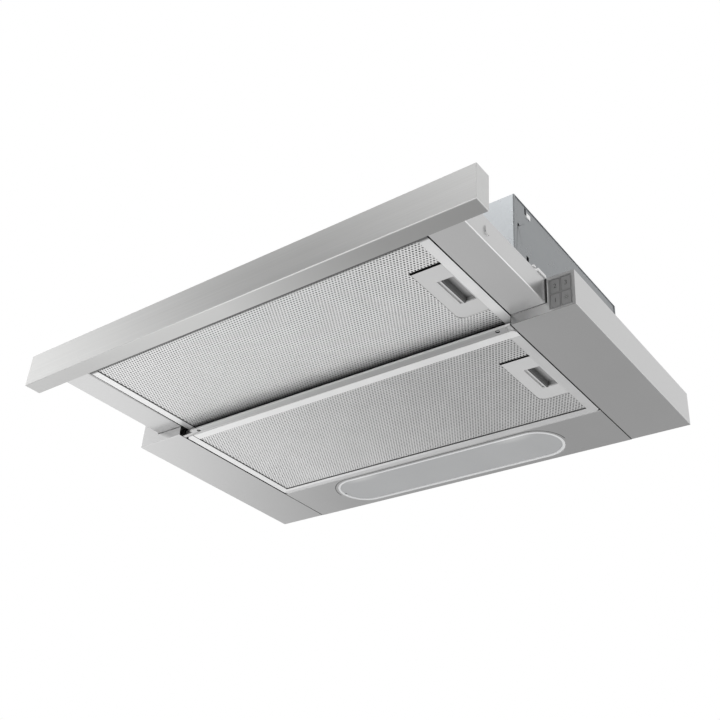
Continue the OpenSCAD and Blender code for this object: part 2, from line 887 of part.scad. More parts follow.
// Round outlet with a seat ledge and two bosses that hold the flaps' pin
module outlet_collar() {
    z = housing_top + collar_flange_t;
    inner = collar_r - collar_wall;
    color("DimGray") placed() difference() {
        translate([0, collar_y, 0]) union() {
            rotate_extrude() polygon([
                [inner, housing_top], [collar_r + collar_flange_w, housing_top],
                [collar_r + collar_flange_w, z], [collar_r, z], [collar_r, z + collar_h - collar_lead],
                [collar_r - collar_wall / 2, z + collar_h], [inner, z + collar_h],
                [inner, z + ledge_z + ledge_t], [inner - ledge_w, z + ledge_z + ledge_t],
                [inner - ledge_w, z + ledge_z], [inner, z + ledge_z - ledge_t]
            ]);
            intersection() {
                for (s = [-1, 1]) rod_x(s * (inner - pin_boss_l / 2) - pin_boss_l,
                    s * (inner - pin_boss_l / 2) + pin_boss_l, 0, flap_z, pin_boss_r);
                difference() {
                    translate([0, 0, z]) cylinder(h = collar_h - collar_lead, r = inner + fit_gap);
                    translate([0, 0, z - over]) cylinder(h = collar_h, r = inner - pin_boss_l);
                }
            }
        }
        rod_x(-inner - over, inner + over, collar_y, flap_z, pin_r + fit_gap);
        at_collar_screws() screw_hole(collar_flange_t);
    }
}

module flap_pin() {
    inner = collar_r - collar_wall;
    color(bright) placed() rod_x(-inner, inner, collar_y, flap_z, pin_r);
}

// Half-round flap behind the pin; its two barrels stand at the ends or one stands in the middle
module flap(in_middle) {
    r = collar_r - collar_wall - flap_gap;
    reach = collar_r - collar_wall - pin_boss_l - flap_gap;
    split = reach * barrel_share;
    spans = in_middle ? [[-split, split]] : [[-reach, -split - seam], [split + seam, reach]];
    difference() {
        union() {
            intersection() {
                translate([0, 0, -flap_t / 2]) cylinder(h = flap_t, r = r);
                block(-r, r, flap_hinge_in, r, -flap_t, flap_t);
            }
            for (s = spans) {
                rod_x(s[0], s[1], 0, 0, barrel_r);
                block(s[0], s[1], 0, flap_hinge_in + over, -flap_t / 2, flap_t / 2);
            }
        }
        rod_x(-r, r, 0, 0, pin_r + fit_gap);
        for (s = [-1, 1]) translate([s * r, 0, -flap_t])
            cylinder(h = 2 * flap_t, r = pin_boss_l + pin_boss_r);
    }
}

module flap_rear() {
    color("SlateGray") placed() translate([0, collar_y, flap_z]) flap(true);
}

module flap_front() {
    color("SlateGray") placed() translate([0, collar_y, flap_z]) mirror([0, 1, 0]) flap(false);
}

// Frosted lens with a raised rim, dropped into the lamp panel from above
module lamp_lens() {
    l = lens_l - 2 * lens_play;
    w = lens_w - 2 * lens_play;
    color("WhiteSmoke", 0.8) placed() translate([0, lens_y, 0]) difference() {
        union() {
            linear_extrude(lens_t) stadium(l, w);
            translate([0, 0, tray_sheet]) linear_extrude(lens_t - tray_sheet)
                stadium(l + 2 * lens_flange, w + 2 * lens_flange);
        }
        translate([0, 0, -over]) linear_extrude(lens_face_set + over)
            stadium(l - 2 * lens_rim_w, w - 2 * lens_rim_w);
        translate([0, 0, lens_face_set + lens_face_t]) linear_extrude(lens_t)
            stadium(l - 2 * lens_rim_w, w - 2 * lens_rim_w);
        block(lens_rim_w - l / 2, lens_rim_w - l / 2 + pry_slot_l, -pry_slot_w / 2, pry_slot_w / 2, -over,
            lens_t + over);
    }
}

// White lamp box over the lens, open below
module lamp_reflector() {
    x = lens_l / 2 + reflector_end;
    y = lens_w / 2 + reflector_side;
    t = reflector_sheet;
    color("White") placed() translate([0, lens_y, 0]) difference() {
        block(-x, x, -y, y, tray_sheet, tray_sheet + reflector_h);
        block(-x + t, x - t, -y + t, y - t, 0, tray_sheet + reflector_h - t);
    }
}

// Two ceramic lamp holders, each on a foot under the lamp box's top
module lamp_holders() {
    top = tray_sheet + reflector_h - reflector_sheet;
    r = bulb_base_r + holder_wall;
    color("Ivory") placed() for (s = [0, 1]) mirror([s, 0, 0]) translate([0, lens_y, 0]) difference() {
        union() {
            rod_x(bulb_base_x, bulb_base_x + holder_l, 0, bulb_z, r);
            block(bulb_base_x, bulb_base_x + holder_l, -r, r, bulb_z, top);
        }
        rod_x(bulb_base_x + holder_wall, bulb_base_x + holder_l + over, 0, bulb_z, bulb_base_r + fit_gap);
    }
}

// Two screw-in tubular lamps, pointing outwards
module lamp_bulbs() {
    x0 = bulb_base_x + holder_l - bulb_base_l;
    x1 = bulb_base_x + holder_l;
    x2 = x1 + bulb_neck_l;
    color("White") placed() for (s = [0, 1]) mirror([s, 0, 0]) {
        translate([0, lens_y, bulb_z]) rotate([0, 90, 0]) rotate_extrude() polygon(concat(
            [[0, x0], [bulb_base_r, x0], [bulb_base_r, x1], [bulb_r, x2], [bulb_r, x2 + bulb_l]],
            [for (a = [15:15:75]) [bulb_r * cos(a), x2 + bulb_l + bulb_r * sin(a)]],
            [[0, x2 + bulb_l + bulb_r]]));
    }
}

// Right-hand runner sections, in X and Z, with a groove for each row of balls
module runner_outer_outline() {
    h = runner_h / 2;
    t = runner_sheet;
    translate([0, runner_z]) difference() {
        translate([runner_x0, -h]) square([runner_t - t - runner_gap, 2 * h]);
        translate([runner_x0 + t, t - h]) square([runner_t, 2 * h - 2 * t]);
        for (s = [-1, 1]) translate([ball_x, s * ball_z]) circle(ball_d / 2 + race_play);
    }
}

module runner_inner_outline() {
    h = inner_h / 2;
    t = runner_sheet;
    translate([0, runner_z]) difference() {
        translate([inner_x, -h]) square([runner_x1 - inner_x, 2 * h]);
        translate([inner_x - over, t - h]) square([runner_x1 - t - inner_x + over, 2 * h - 2 * t]);
        for (s = [-1, 1]) translate([ball_x, s * ball_z]) circle(ball_d / 2 + race_play);
    }
}

module runner_fixed() {
    along_y(runner_front, runner_rear) runner_outer_outline();
}

module runner_moving() {
    along_y(runner_front - travel - seam, drawer_tail - runner_end_gap) runner_inner_outline();
}

// Two rows of balls in a strip cage between the runner's members
module ball_cage() {
    y0 = runner_front + cage_end;
    y1 = drawer_tail - runner_end_gap - cage_end;
    step = (y1 - y0) / balls_in_row;
    for (s = [-1, 1]) {
        for (i = [0:balls_in_row - 1]) {
            translate([ball_x, y0 + step * (i + 0.5), runner_z + s * ball_z]) sphere(d = ball_d);
        }
        difference() {
            translate([0, 0, runner_z + s * ball_z])
                block(cage_x, ball_x + ball_d / 2, y0, y1, -cage_t / 2, cage_t / 2);
            for (i = [0:balls_in_row - 1]) {
                translate([ball_x, y0 + step * (i + 0.5), runner_z + s * ball_z - cage_t])
                    cylinder(h = 2 * cage_t, r = ball_d / 2 + cage_play);
            }
        }
    }
    block(cage_x, cage_x + cage_t, y0, y1, runner_z - ball_z - cage_t / 2,
        runner_z + ball_z + cage_t / 2);
}

// Angle that hangs from the top plate and carries the fixed runner member
module runner_hanger() {
    x1 = runner_x0;
    block(x1 - zinc_sheet, x1, runner_front, runner_rear, runner_z - runner_h / 2, tray_h);
    block(x1 - hanger_flange_w, x1, runner_front, runner_rear, tray_h - zinc_sheet, tray_h);
}

module runner_hangers() {
    color(zinc) placed() for (s = [0, 1]) mirror([s, 0, 0]) runner_hanger();
}

module runner_fixed_left() {
    color(bright) placed() mirror([1, 0, 0]) runner_fixed();
}

module runner_fixed_right() {
    color(bright) placed() runner_fixed();
}

module runner_moving_left() {
    color(bright) placed() mirror([1, 0, 0]) runner_moving();
}

module runner_moving_right() {
    color(bright) placed() runner_moving();
}

module ball_cage_left() {
    color("Goldenrod") placed() mirror([1, 0, 0]) ball_cage();
}

module ball_cage_right() {
    color("Goldenrod") placed() ball_cage();
}

// White glide on the tray's front corner: a foot on the top plate and an arm over the drawer's side
module drawer_glide() {
    x1 = mouth_x - seam;
    z = tray_h + glide_lift;
    block(x1 - glide_w, x1, seam, glide_back, housing_z, housing_z + glide_arm_t);
    block(x1 - glide_w, x1 - glide_lug_w, -glide_front, seam, z, housing_z + glide_arm_t);
    block(x1 - glide_lug_w - over, x1, -glide_lug_l, seam, z, z + glide_lug_h);
    block(x1 - glide_lug_w - over, x1, -glide_front, glide_nub_l - glide_front, z, z + glide_nub_h);
}

module drawer_glides() {
    color("White") placed() for (s = [0, 1]) mirror([s, 0, 0]) drawer_glide();
}

// Moulded frame round the four buttons
module control_bezel() {
    x0 = mouth_x + control_margin + button_set;
    z0 = control_margin + button_set;
    w = buttons_w - 2 * button_set;
    h = buttons_h - 2 * button_set;
    color("Gray") placed() difference() {
        union() {
            block(x0, x0 + w, 0, bezel_t, z0, z0 + h);
            block(x0, x0 + w, bezel_t - over, block_y, z0, z0 + bezel_bar);
            block(x0, x0 + w, bezel_t - over, block_y, z0 + h - bezel_bar, z0 + h);
        }
        for (i = [0, 1], j = [0, 1]) at_button(i, j) {
            block(-button_gap, button_size().x + button_gap, -over, bezel_t + over, -button_gap,
                button_size().y + button_gap);
        }
    }
}

// Width and height of one button
function button_size() = [
    (buttons_w - 2 * button_set - 3 * bezel_bar - 4 * button_gap) / 2,
    (buttons_h - 2 * button_set - 3 * bezel_bar - 4 * button_gap) / 2
];

// Lower left corner of the button in column i and row j
module at_button(i, j) {
    first = button_set + bezel_bar + button_gap;
    step = [button_size().x + bezel_bar + 2 * button_gap, button_size().y + bezel_bar + 2 * button_gap];
    translate([mouth_x + control_margin + first + step.x * i, 0, control_margin + first + step.y * j])
        children();
}

// Button cap with its stem; the cap's face lies a little behind the bezel's
module button(i, j) {
    color("DarkGray") placed() at_button(i, j) {
        block(0, button_size().x, button_set, button_l, 0, button_size().y);
        rod_y(button_l - over, button_l + stem_l, button_size().x / 2, button_size().y / 2, stem_r);
    }
}

module button_one() {
    button(0, 0);
}

module button_two() {
    button(0, 1);
}

module button_three() {
    button(1, 1);
}

module button_light() {
    button(1, 0);
}

// Switch bank behind the buttons
module switch_block() {
    x0 = mouth_x + control_margin + block_set;
    z0 = control_margin + block_set;
    color("DimGray") placed() difference() {
        block(x0, x0 + buttons_w - 2 * block_set, block_y, block_y + block_l, z0,
            z0 + buttons_h - 2 * block_set);
        for (i = [0, 1], j = [0, 1]) at_button(i, j) {
            rod_y(block_y - over, block_y + stem_l + button_travel, button_size().x / 2,
                button_size().y / 2, stem_r + stem_play);
        }
    }
}

// Switch on the left cheek's rear wall, with its plunger towards the drawer
module drawer_switch() {
    y = drawer_tail + travel + switch_gap + plunger_out;
    x = -(side_in_x + drawer_x) / 2;
    color("DimGray") placed() difference() {
        block(x - switch_w / 2, x + switch_w / 2, y, tray_d - tray_sheet, runner_z - switch_h / 2,
            runner_z + switch_h / 2);
        rod_y(y - over, y + plunger_in + plunger_travel, x, runner_z, plunger_r + stem_play);
    }
}

module switch_plunger() {
    y = drawer_tail + travel + switch_gap;
    color("White") placed()
        rod_y(y, y + plunger_out + plunger_in, -(side_in_x + drawer_x) / 2, runner_z, plunger_r);
}

// Stainless bar across the drawer's front, open at the back
module fascia() {
    t = fascia_sheet;
    y = -pull_out - fascia_t;
    color(bright) placed() difference() {
        block(-half_w, half_w, y, -pull_out, 0, tray_h);
        block(-half_w + t, half_w - t, y + t, -pull_out + over, t, tray_h - t);
    }
}

// Plate that closes the fascia and carries the drawer's sides
module fascia_back() {
    t = fascia_sheet + seam / 2;
    color(zinc) placed() difference() {
        block(-half_w + t, half_w - t, -pull_out - fascia_back_t, -pull_out, t, tray_h - t);
        at_drawer_screws() screw_hole(fascia_back_t);
    }
}

// Places of the screws that hold the drawer's sides to the fascia's back plate
module at_drawer_screws() {
    for (s = [-1, 1], share = [0.3, 0.7]) {
        translate([s * (side_in_x + (drawer_x - side_in_x) * share), -pull_out - fascia_back_t, runner_z])
            rotate([90, 0, 0]) children();
    }
}

module drawer_screws() {
    color(bright) placed() at_drawer_screws() screw(fascia_back_t + screw_l / 2);
}

// Right side channel of the drawer, open above so that the fixed runner can pass in
module drawer_side() {
    t = drawer_sheet;
    difference() {
        union() {
            block(side_in_x, drawer_x, -pull_out, drawer_tail, drawer_z, drawer_top_z);
            along_boss() stadium(boss_h, boss_w);
        }
        block(side_in_x + t, drawer_x - t, -pull_out + t, drawer_tail + over, drawer_z + t,
            drawer_top_z + over);
        at_drawer_screws() screw_hole(fascia_back_t + screw_l);
    }
    block(side_in_x, runner_x0 - zinc_sheet - end_tab_gap, drawer_tail - t, drawer_tail, drawer_z,
        drawer_top_z - end_tab_drop);
}

// Raised oval fixing point on the outside of a drawer side
module along_boss() {
    translate([drawer_x - over, -boss_y, (drawer_z + drawer_top_z) / 2]) rotate([0, 90, 0])
        linear_extrude(boss_out + over) children();
}

module drawer_side_right() {
    color(painted) placed() difference() {
        drawer_side();
        bolt_slot(side_in_x, drawer_filter_y, drawer_z);
    }
}

module drawer_side_left() {
    color(painted) placed() difference() {
        mirror([1, 0, 0]) drawer_side();
        tab_slots(-side_in_x - drawer_sheet, drawer_filter_y, drawer_z);
    }
}

// Angle behind the drawer's filter that ties the two sides
module drawer_rear_bar() {
    x = side_in_x - seam / 2;
    y = drawer_filter_y + filter_d + bay_gap;
    t = drawer_sheet;
    color(painted) placed() {
        block(-x, x, y, y + rear_bar_t, drawer_z, drawer_z + t);
        block(-x, x, y + rear_bar_t - t, y + rear_bar_t, drawer_z, drawer_z + filter_h);
    }
}

// Sheet that closes the drawer above, with a flange down each side
module drawer_top() {
    x = side_in_x - seam / 2;
    t = drawer_sheet;
    color(painted) placed() {
        block(-x, x, -pull_out, -top_sheet_rear, drawer_top_z - t, drawer_top_z);
        for (s = [-1, 1]) {
            block(s > 0 ? x - t : -x, s > 0 ? x : t - x, -pull_out, -top_sheet_rear,
                drawer_top_z - top_sheet_flange, drawer_top_z);
        }
    }
}

// Aluminium channel frame of a filter cassette, from its own front edge
module filter_frame() {
    t = filter_sheet;
    l = filter_d / 2 - latch_bolt_d / 2 - tab_play;
    translate([0, filter_d / 2, 0]) difference() {
        linear_extrude(filter_h) round_rect(filter_w, filter_d, filter_corner_r);
        translate([0, 0, t]) linear_extrude(filter_h - 2 * t)
            round_rect(filter_w - 2 * t, filter_d - 2 * t, filter_corner_r - t);
        translate([0, 0, -over]) linear_extrude(2 * t)
            square([filter_w - 2 * filter_bar, filter_d - 2 * filter_bar], center = true);
        translate([0, 0, filter_h - t - over]) linear_extrude(t + 2 * over)
            square([filter_w - 2 * bar_lip, filter_d - 2 * bar_lip], center = true);
        translate([0, l - filter_d / 2, 0]) block(filter_w / 2 - 2 * t, filter_w / 2 + over, 0,
            latch_bolt_d + 2 * tab_play, bolt_z0 - tab_play, latch_z1 + mesh_gap);
        difference() {
            block(-filter_w / 2 - over, filter_fold_r - filter_w / 2, -filter_d, filter_d, -over,
                filter_fold_r);
            rod_y(-filter_d - over, filter_d + over, filter_fold_r - filter_w / 2, filter_fold_r,
                filter_fold_r);
        }
    }
    for (y = [tab_in, filter_d - tab_in - tab_w]) {
        block(-filter_w / 2 - tab_l, t / 2 - filter_w / 2, y, y + tab_w, tab_z, tab_z + tab_t);
    }
}

// Pad of stretched aluminium mesh, cut away for the latch
module filter_mesh() {
    g = filter_sheet + mesh_gap;
    difference() {
        block(g - filter_w / 2, filter_w / 2 - g, g, filter_d - g, mesh_z, filter_h - g);
        block(plate_x0 - mesh_gap, filter_w / 2, plate_y0 - plate_slot_w,
            plate_y0 + plate_d + mesh_gap, 0, filter_h);
        for (x = [-1, 1], y = [0, 1]) {
            translate([x * (filter_w / 2 - g), g + y * (filter_d - 2 * g), 0])
                rotate(45) cube([filter_corner_r, filter_corner_r, 2 * filter_h], center = true);
        }
    }
}

// Moulded plate that guides the latch, with one round corner; it lies on the frame's flange
module latch_plate() {
    wx0 = latch_web_x0;
    wx1 = latch_x1 + slide_gap;
    wy0 = latch_y0 - slide_gap;
    wy1 = filter_d - wy0;
    r = plate_corner_r;
    difference() {
        union() {
            translate([0, 0, plate_set]) linear_extrude(plate_t) difference() {
                translate([plate_x0, plate_y0]) square([plate_x2 - plate_x0, plate_d]);
                translate([plate_x0 - over, plate_y0 + plate_d - r]) difference() {
                    square(r + over);
                    translate([r + over, 0]) circle(r);
                }
            }
            block(latch_pocket_x0 - plate_rim_t, wx1 + plate_rim_t, wy0 - plate_rim_t, wy1 + plate_rim_t,
                plate_set, latch_z1);
        }
        block(wx0, wx1, latch_y0 + recess_lip, filter_d - latch_y0 - recess_lip, 0, filter_h);
        block(latch_pocket_x0, wx1, wy0, wy1, plate_set + plate_t, filter_h);
        block(wx1 - over, filter_w / 2, filter_d / 2 - latch_bolt_d / 2 - tab_play,
            filter_d / 2 + latch_bolt_d / 2 + tab_play, bolt_z0 - tab_play, filter_h);
    }
}

// Finger cup with its bolt and the web that closes the plate's window behind it; pulled towards
// -X it frees the filter
module latch() {
    y1 = filter_d - latch_y0;
    foot = plate_set + plate_t + mesh_gap;
    translate([0, 0, latch_set]) linear_extrude(latch_z1 - latch_set) difference() {
        translate([latch_x0, latch_y0 + recess_lip + slide_gap])
            square([recess_lip, y1 - latch_y0 - 2 * recess_lip - 2 * slide_gap]);
        translate([latch_x0 - over, y1 - recess_lip - slide_gap - latch_corner_r]) difference() {
            square(latch_corner_r + over);
            translate([latch_corner_r + over, 0]) circle(latch_corner_r);
        }
    }
    block(latch_x0, latch_x1, latch_y0, y1, latch_z0, latch_z1);
    block(latch_web_x0, latch_x0 + over, latch_y0, y1, foot, foot + latch_web_t);
    for (y = [latch_y0, y1 - recess_lip]) block(latch_x0, latch_x1, y, y + recess_lip, foot, latch_z1);
    block(latch_x1 - over, filter_w / 2 - fit_gap, filter_d / 2 - latch_bolt_d / 2,
        filter_d / 2 + latch_bolt_d / 2, bolt_z0, latch_z1);
}

module at_fixed_filter() {
    placed() translate([0, fixed_filter_y, 0]) children();
}

module at_drawer_filter() {
    placed() translate([0, drawer_filter_y, drawer_z]) children();
}

module fixed_filter_frame() {
    color(bright) at_fixed_filter() filter_frame();
}

module fixed_filter_mesh() {
    color(painted) at_fixed_filter() filter_mesh();
}

module fixed_latch_plate() {
    color("LightGray") at_fixed_filter() latch_plate();
}

module fixed_latch() {
    color("WhiteSmoke") at_fixed_filter() latch();
}

module drawer_filter_frame() {
    color(bright) at_drawer_filter() filter_frame();
}

module drawer_filter_mesh() {
    color(painted) at_drawer_filter() filter_mesh();
}

module drawer_latch_plate() {
    color("LightGray") at_drawer_filter() latch_plate();
}

module drawer_latch() {
    color("WhiteSmoke") at_drawer_filter() latch();
}

cheek_left();
cheek_right();
front_rail();
lamp_panel();
top_plate();
housing_wrap();
housing_side_left();
housing_side_right();
housing_rivets();
scroll_left();
scroll_right();
motor_bracket();
motor_stator();
motor_end_caps();
casing_screws();
capacitor();
terminal_box();
terminal_lid();
cable_gland();
outlet_collar();
flap_pin();
lamp_lens();
lamp_reflector();
lamp_holders();
lamp_bulbs();
runner_hangers();
runner_fixed_left();
runner_fixed_right();
drawer_glides();
control_bezel();
switch_block();
drawer_switch();
fascia();
fascia_back();
drawer_side_left();
drawer_side_right();
drawer_rear_bar();
drawer_top();
runner_moving_left();
runner_moving_right();
drawer_filter_frame();
drawer_filter_mesh();
drawer_latch_plate();
drawer_screws();
ball_cage_left();
ball_cage_right();
fixed_filter_frame();
fixed_filter_mesh();
fixed_latch_plate();
fixed_latch();
drawer_latch();
flap_front();
flap_rear();
blower_wheel();
motor_rotor();
button_one();
button_two();
button_three();
button_light();
switch_plunger();
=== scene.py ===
"""Looks of a telescopic range hood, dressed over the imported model."""
import json
import math

import bmesh
import bpy
from bpy.props import FloatProperty, FloatVectorProperty, PointerProperty
from mathutils import Matrix, Vector


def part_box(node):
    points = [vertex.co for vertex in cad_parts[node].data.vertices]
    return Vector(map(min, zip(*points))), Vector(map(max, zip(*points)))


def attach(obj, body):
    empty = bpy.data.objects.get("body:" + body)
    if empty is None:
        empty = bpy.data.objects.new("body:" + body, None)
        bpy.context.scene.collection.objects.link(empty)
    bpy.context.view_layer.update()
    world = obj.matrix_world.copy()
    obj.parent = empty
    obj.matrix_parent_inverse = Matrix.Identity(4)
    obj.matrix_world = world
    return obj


bl_info = {
    "name": "Telescopic range hood",
    "version": (1, 0, 0),
    "blender": (4, 5, 0),
    "location": "3D View > Sidebar > Hood",
    "description": "Dresses the packed model of a pull-out range hood",
    "category": "Object",
}

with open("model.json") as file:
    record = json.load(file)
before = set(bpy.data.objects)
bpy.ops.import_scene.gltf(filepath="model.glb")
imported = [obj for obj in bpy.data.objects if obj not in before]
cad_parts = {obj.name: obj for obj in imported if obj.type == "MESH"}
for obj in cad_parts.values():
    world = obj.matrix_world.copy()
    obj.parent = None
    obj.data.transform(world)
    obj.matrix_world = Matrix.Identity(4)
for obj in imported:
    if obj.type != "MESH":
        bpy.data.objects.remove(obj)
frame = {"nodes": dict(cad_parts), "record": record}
NODES = frame["nodes"]
SLOT_OF = {p["node"]: p["material_slot"] for p in frame["record"]["subparts"]}
MM = 0.001
X, Y, Z = 0, 1, 2

# The room's level and its panels: turn, rise, reach and blur in degrees, strength
ROOM_LEVEL = 0.85
PANELS = (
    (95.0, -28.0, 33.0, 5.0, 0.33),
    (173.0, -33.0, 34.0, 5.0, -0.46),
    (80.0, 20.0, 25.0, 5.0, 0.85),
    (42.0, 38.0, 10.0, 5.0, -0.98),
    (18.0, 29.0, 14.0, 4.0, -0.78),
    (31.0, 46.0, 9.0, 4.0, 1.50),
    (219.0, -24.0, 14.0, 5.0, 0.62),
    (206.0, -42.0, 11.0, 5.0, 1.60),
    (38.0, -37.0, 12.0, 5.0, 1.00),
    (297.0, 38.0, 9.0, 4.0, 0.70),
    (58.0, -25.0, 10.0, 5.0, -0.60),
)

# The soft lamps: name, place and width in metres, power in watts
LAMPS = (("key", (-2.2, 0.3, 0.4), 1.2, 4.0), ("top", (0.2, 0.6, 2.4), 2.0, 7.0))

# The camera: place in metres, the ways its picture runs right and down, and the way it looks
CAMERA_PLACE = (0.64091, -0.78365, -0.56168)
CAMERA_RIGHT = Vector((0.79762997, 0.59985412, 0.06294019))
CAMERA_DOWN = Vector((-0.27251118, 0.45150845, -0.84963391))
CAMERA_AHEAD = Vector((-0.53807443, 0.66054156, 0.52360362))
SENSOR_MM, LENS_MM = 36.0, 51.13

# Tones of painted shade: near black in gaps, holes and shadow lines, and on wall faces that no
# light reaches
GAP_SHADE_DARK = (0.02, 0.02, 0.02)
WALL_DARK = (0.01, 0.01, 0.01)

LATCH_PLATES = ("fixed_latch_plate", "drawer_latch_plate")
HINGE_TAB = 4.0 * MM  # how far a filter's two tabs stick out past the left of its frame
UPRIGHT = (math.radians(90), 0, 0)  # turns a flat mark to face the front


def grey(name, tone, description):
    """A colour property whose default is one neutral linear tone, or a tinted one."""
    tone = tone if isinstance(tone, tuple) else (tone, tone, tone)
    return FloatVectorProperty(name=name, description=description, default=tone, size=3,
                               subtype="COLOR", min=0.0, max=1.0)


def length(name, millimetres, description):
    """A length property in metres, with its default given in millimetres."""
    return FloatProperty(name=name, description=description, default=millimetres * MM,
                         subtype="DISTANCE", unit="LENGTH", min=0.0, precision=5)


class HoodSizes(bpy.types.PropertyGroup):
    """Sizes of the pieces that this file adds."""

    hole_pitch: length("Hole pitch", 3.57, "Distance between holes in one row of a filter's face")
    hole_size: length("Hole size", 2.05, "Width of one hole across its flats")
    sheet_gap: length("Sheet set-back", 0.9, "Depth of the face sheet inside the filter")
    sheet_thickness: length("Sheet thickness", 0.4, "Thickness of the perforated face sheet")
    sheet_overlap: length("Sheet overlap", 1.5, "Width of sheet hidden behind the filter's frame")
    bar_width: length("Frame bar", 11.0, "Width of the filter frame's visible flange")
    legend_height: length("Legend height", 5.2, "Height of the mark on a button")
    legend_relief: length("Legend relief", 0.04, "How far a mark stands off its button")
    floor_drop: length("Floor drop", 1500.0, "Height of the hood's underside above the floor")
    floor_size: length("Floor size", 14000.0, "Width of the floor")


class HoodColours(bpy.types.PropertyGroup):
    """Colours of the hood's finishes."""

    paint: grey("Tray paint", 0.62, "Silver baked paint of tray and drawer")
    steel: grey("Stainless steel", (0.63, 0.63, 0.625), "Brushed fascia")
    zinc: grey("Galvanised sheet", (0.58, 0.605, 0.625), "Blower box and hidden brackets")
    aluminium: grey("Aluminium", 0.93, "Filter frames and their face sheets")
    strands: grey("Filter mesh", 0.30, "Stretched mesh inside the filters")
    dark: grey("Dark plastic", 0.035, "Scroll, collar, terminal box and switches")
    buttons: grey("Button plastic", 0.20, "Buttons, their frame and the outlet's flaps")
    pale: grey("Pale plastic", 0.60, "Latch plates")
    white: grey("White plastic", 0.85, "Glides, latches and plunger")
    brass: grey("Brass", (0.72, 0.52, 0.22), "Ball cages")
    lens: grey("Lens", (0.43, 0.435, 0.44), "Frosted lamp cover")
    # Painted highlight: the pale tone of the lens's rim
    lens_rim: grey("Lens rim", (0.74, 0.745, 0.75), "Smooth rim of the lamp cover")
    opal: grey("Opal glass", (0.88, 0.88, 0.86), "The two lamps")
    lamp_box: grey("Lamp box", (0.8, 0.8, 0.79), "Baked paint inside the lamp box")
    ceramic: grey("Ceramic", (0.78, 0.74, 0.66), "Lamp holders")
    capacitor: grey("Capacitor", (0.72, 0.72, 0.7), "Case of the motor's capacitor")
    stator: grey("Stator", (0.34, 0.34, 0.35), "Laminated stack of the motor")
    copper: grey("Copper", (0.62, 0.26, 0.12), "Motor windings")
    floor: grey("Floor", 0.88, "Floor and its lowered middle")


class Value:
    """One output of a shader node; sums and products with it add Math nodes."""

    def __init__(self, finish, socket):
        self.finish = finish
        self.socket = socket

    def math(self, operation, *others, clamp=False):
        """A Math node on this output and the other numbers or outputs."""
        return self.finish.node("ShaderNodeMath", {"operation": operation, "use_clamp": clamp},
                                (self,) + others)

    def __add__(self, other):
        return self.math("ADD", other)

    __radd__ = __add__

    def __sub__(self, other):
        return self.math("SUBTRACT", other)

    def __rsub__(self, other):
        return self.finish.node("ShaderNodeMath", {"operation": "SUBTRACT"}, (other, self))

    def __mul__(self, other):
        return self.math("MULTIPLY", other)

    __rmul__ = __mul__

    def __truediv__(self, other):
        return self.math("DIVIDE", other)

    def __abs__(self):
        return self.math("ABSOLUTE")

    def __gt__(self, other):
        return self.math("GREATER_THAN", other)

    def __lt__(self, other):
        return self.math("LESS_THAN", other)

    def clamped(self):
        """The same value, kept between 0 and 1."""
        return self.math("ADD", 0.0, clamp=True)


class NodeTree:
    """A node tree under construction, emptied first."""

    def __init__(self, tree):
        self.tree = tree
        self.tree.nodes.clear()

    def node(self, kind, settings=None, sockets=(), output=0):
        """Adds a node: its settings first, then the values or links of its sockets."""
        made = self.tree.nodes.new(kind)
        for key, value in (settings or {}).items():
            if key == "stops":
                for stop, (place, tone) in zip(made.color_ramp.elements, value):
                    stop.position = place
                    stop.color = (tone, tone, tone, 1.0)
            else:
                setattr(made, key, value)
        named = sockets.items() if isinstance(sockets, dict) else enumerate(sockets)
        for key, value in named:
            if isinstance(value, Value):
                self.tree.links.new(value.socket, made.inputs[key])
            else:
                made.inputs[key].default_value = value
        return Value(self, made.outputs[output]) if made.outputs else None


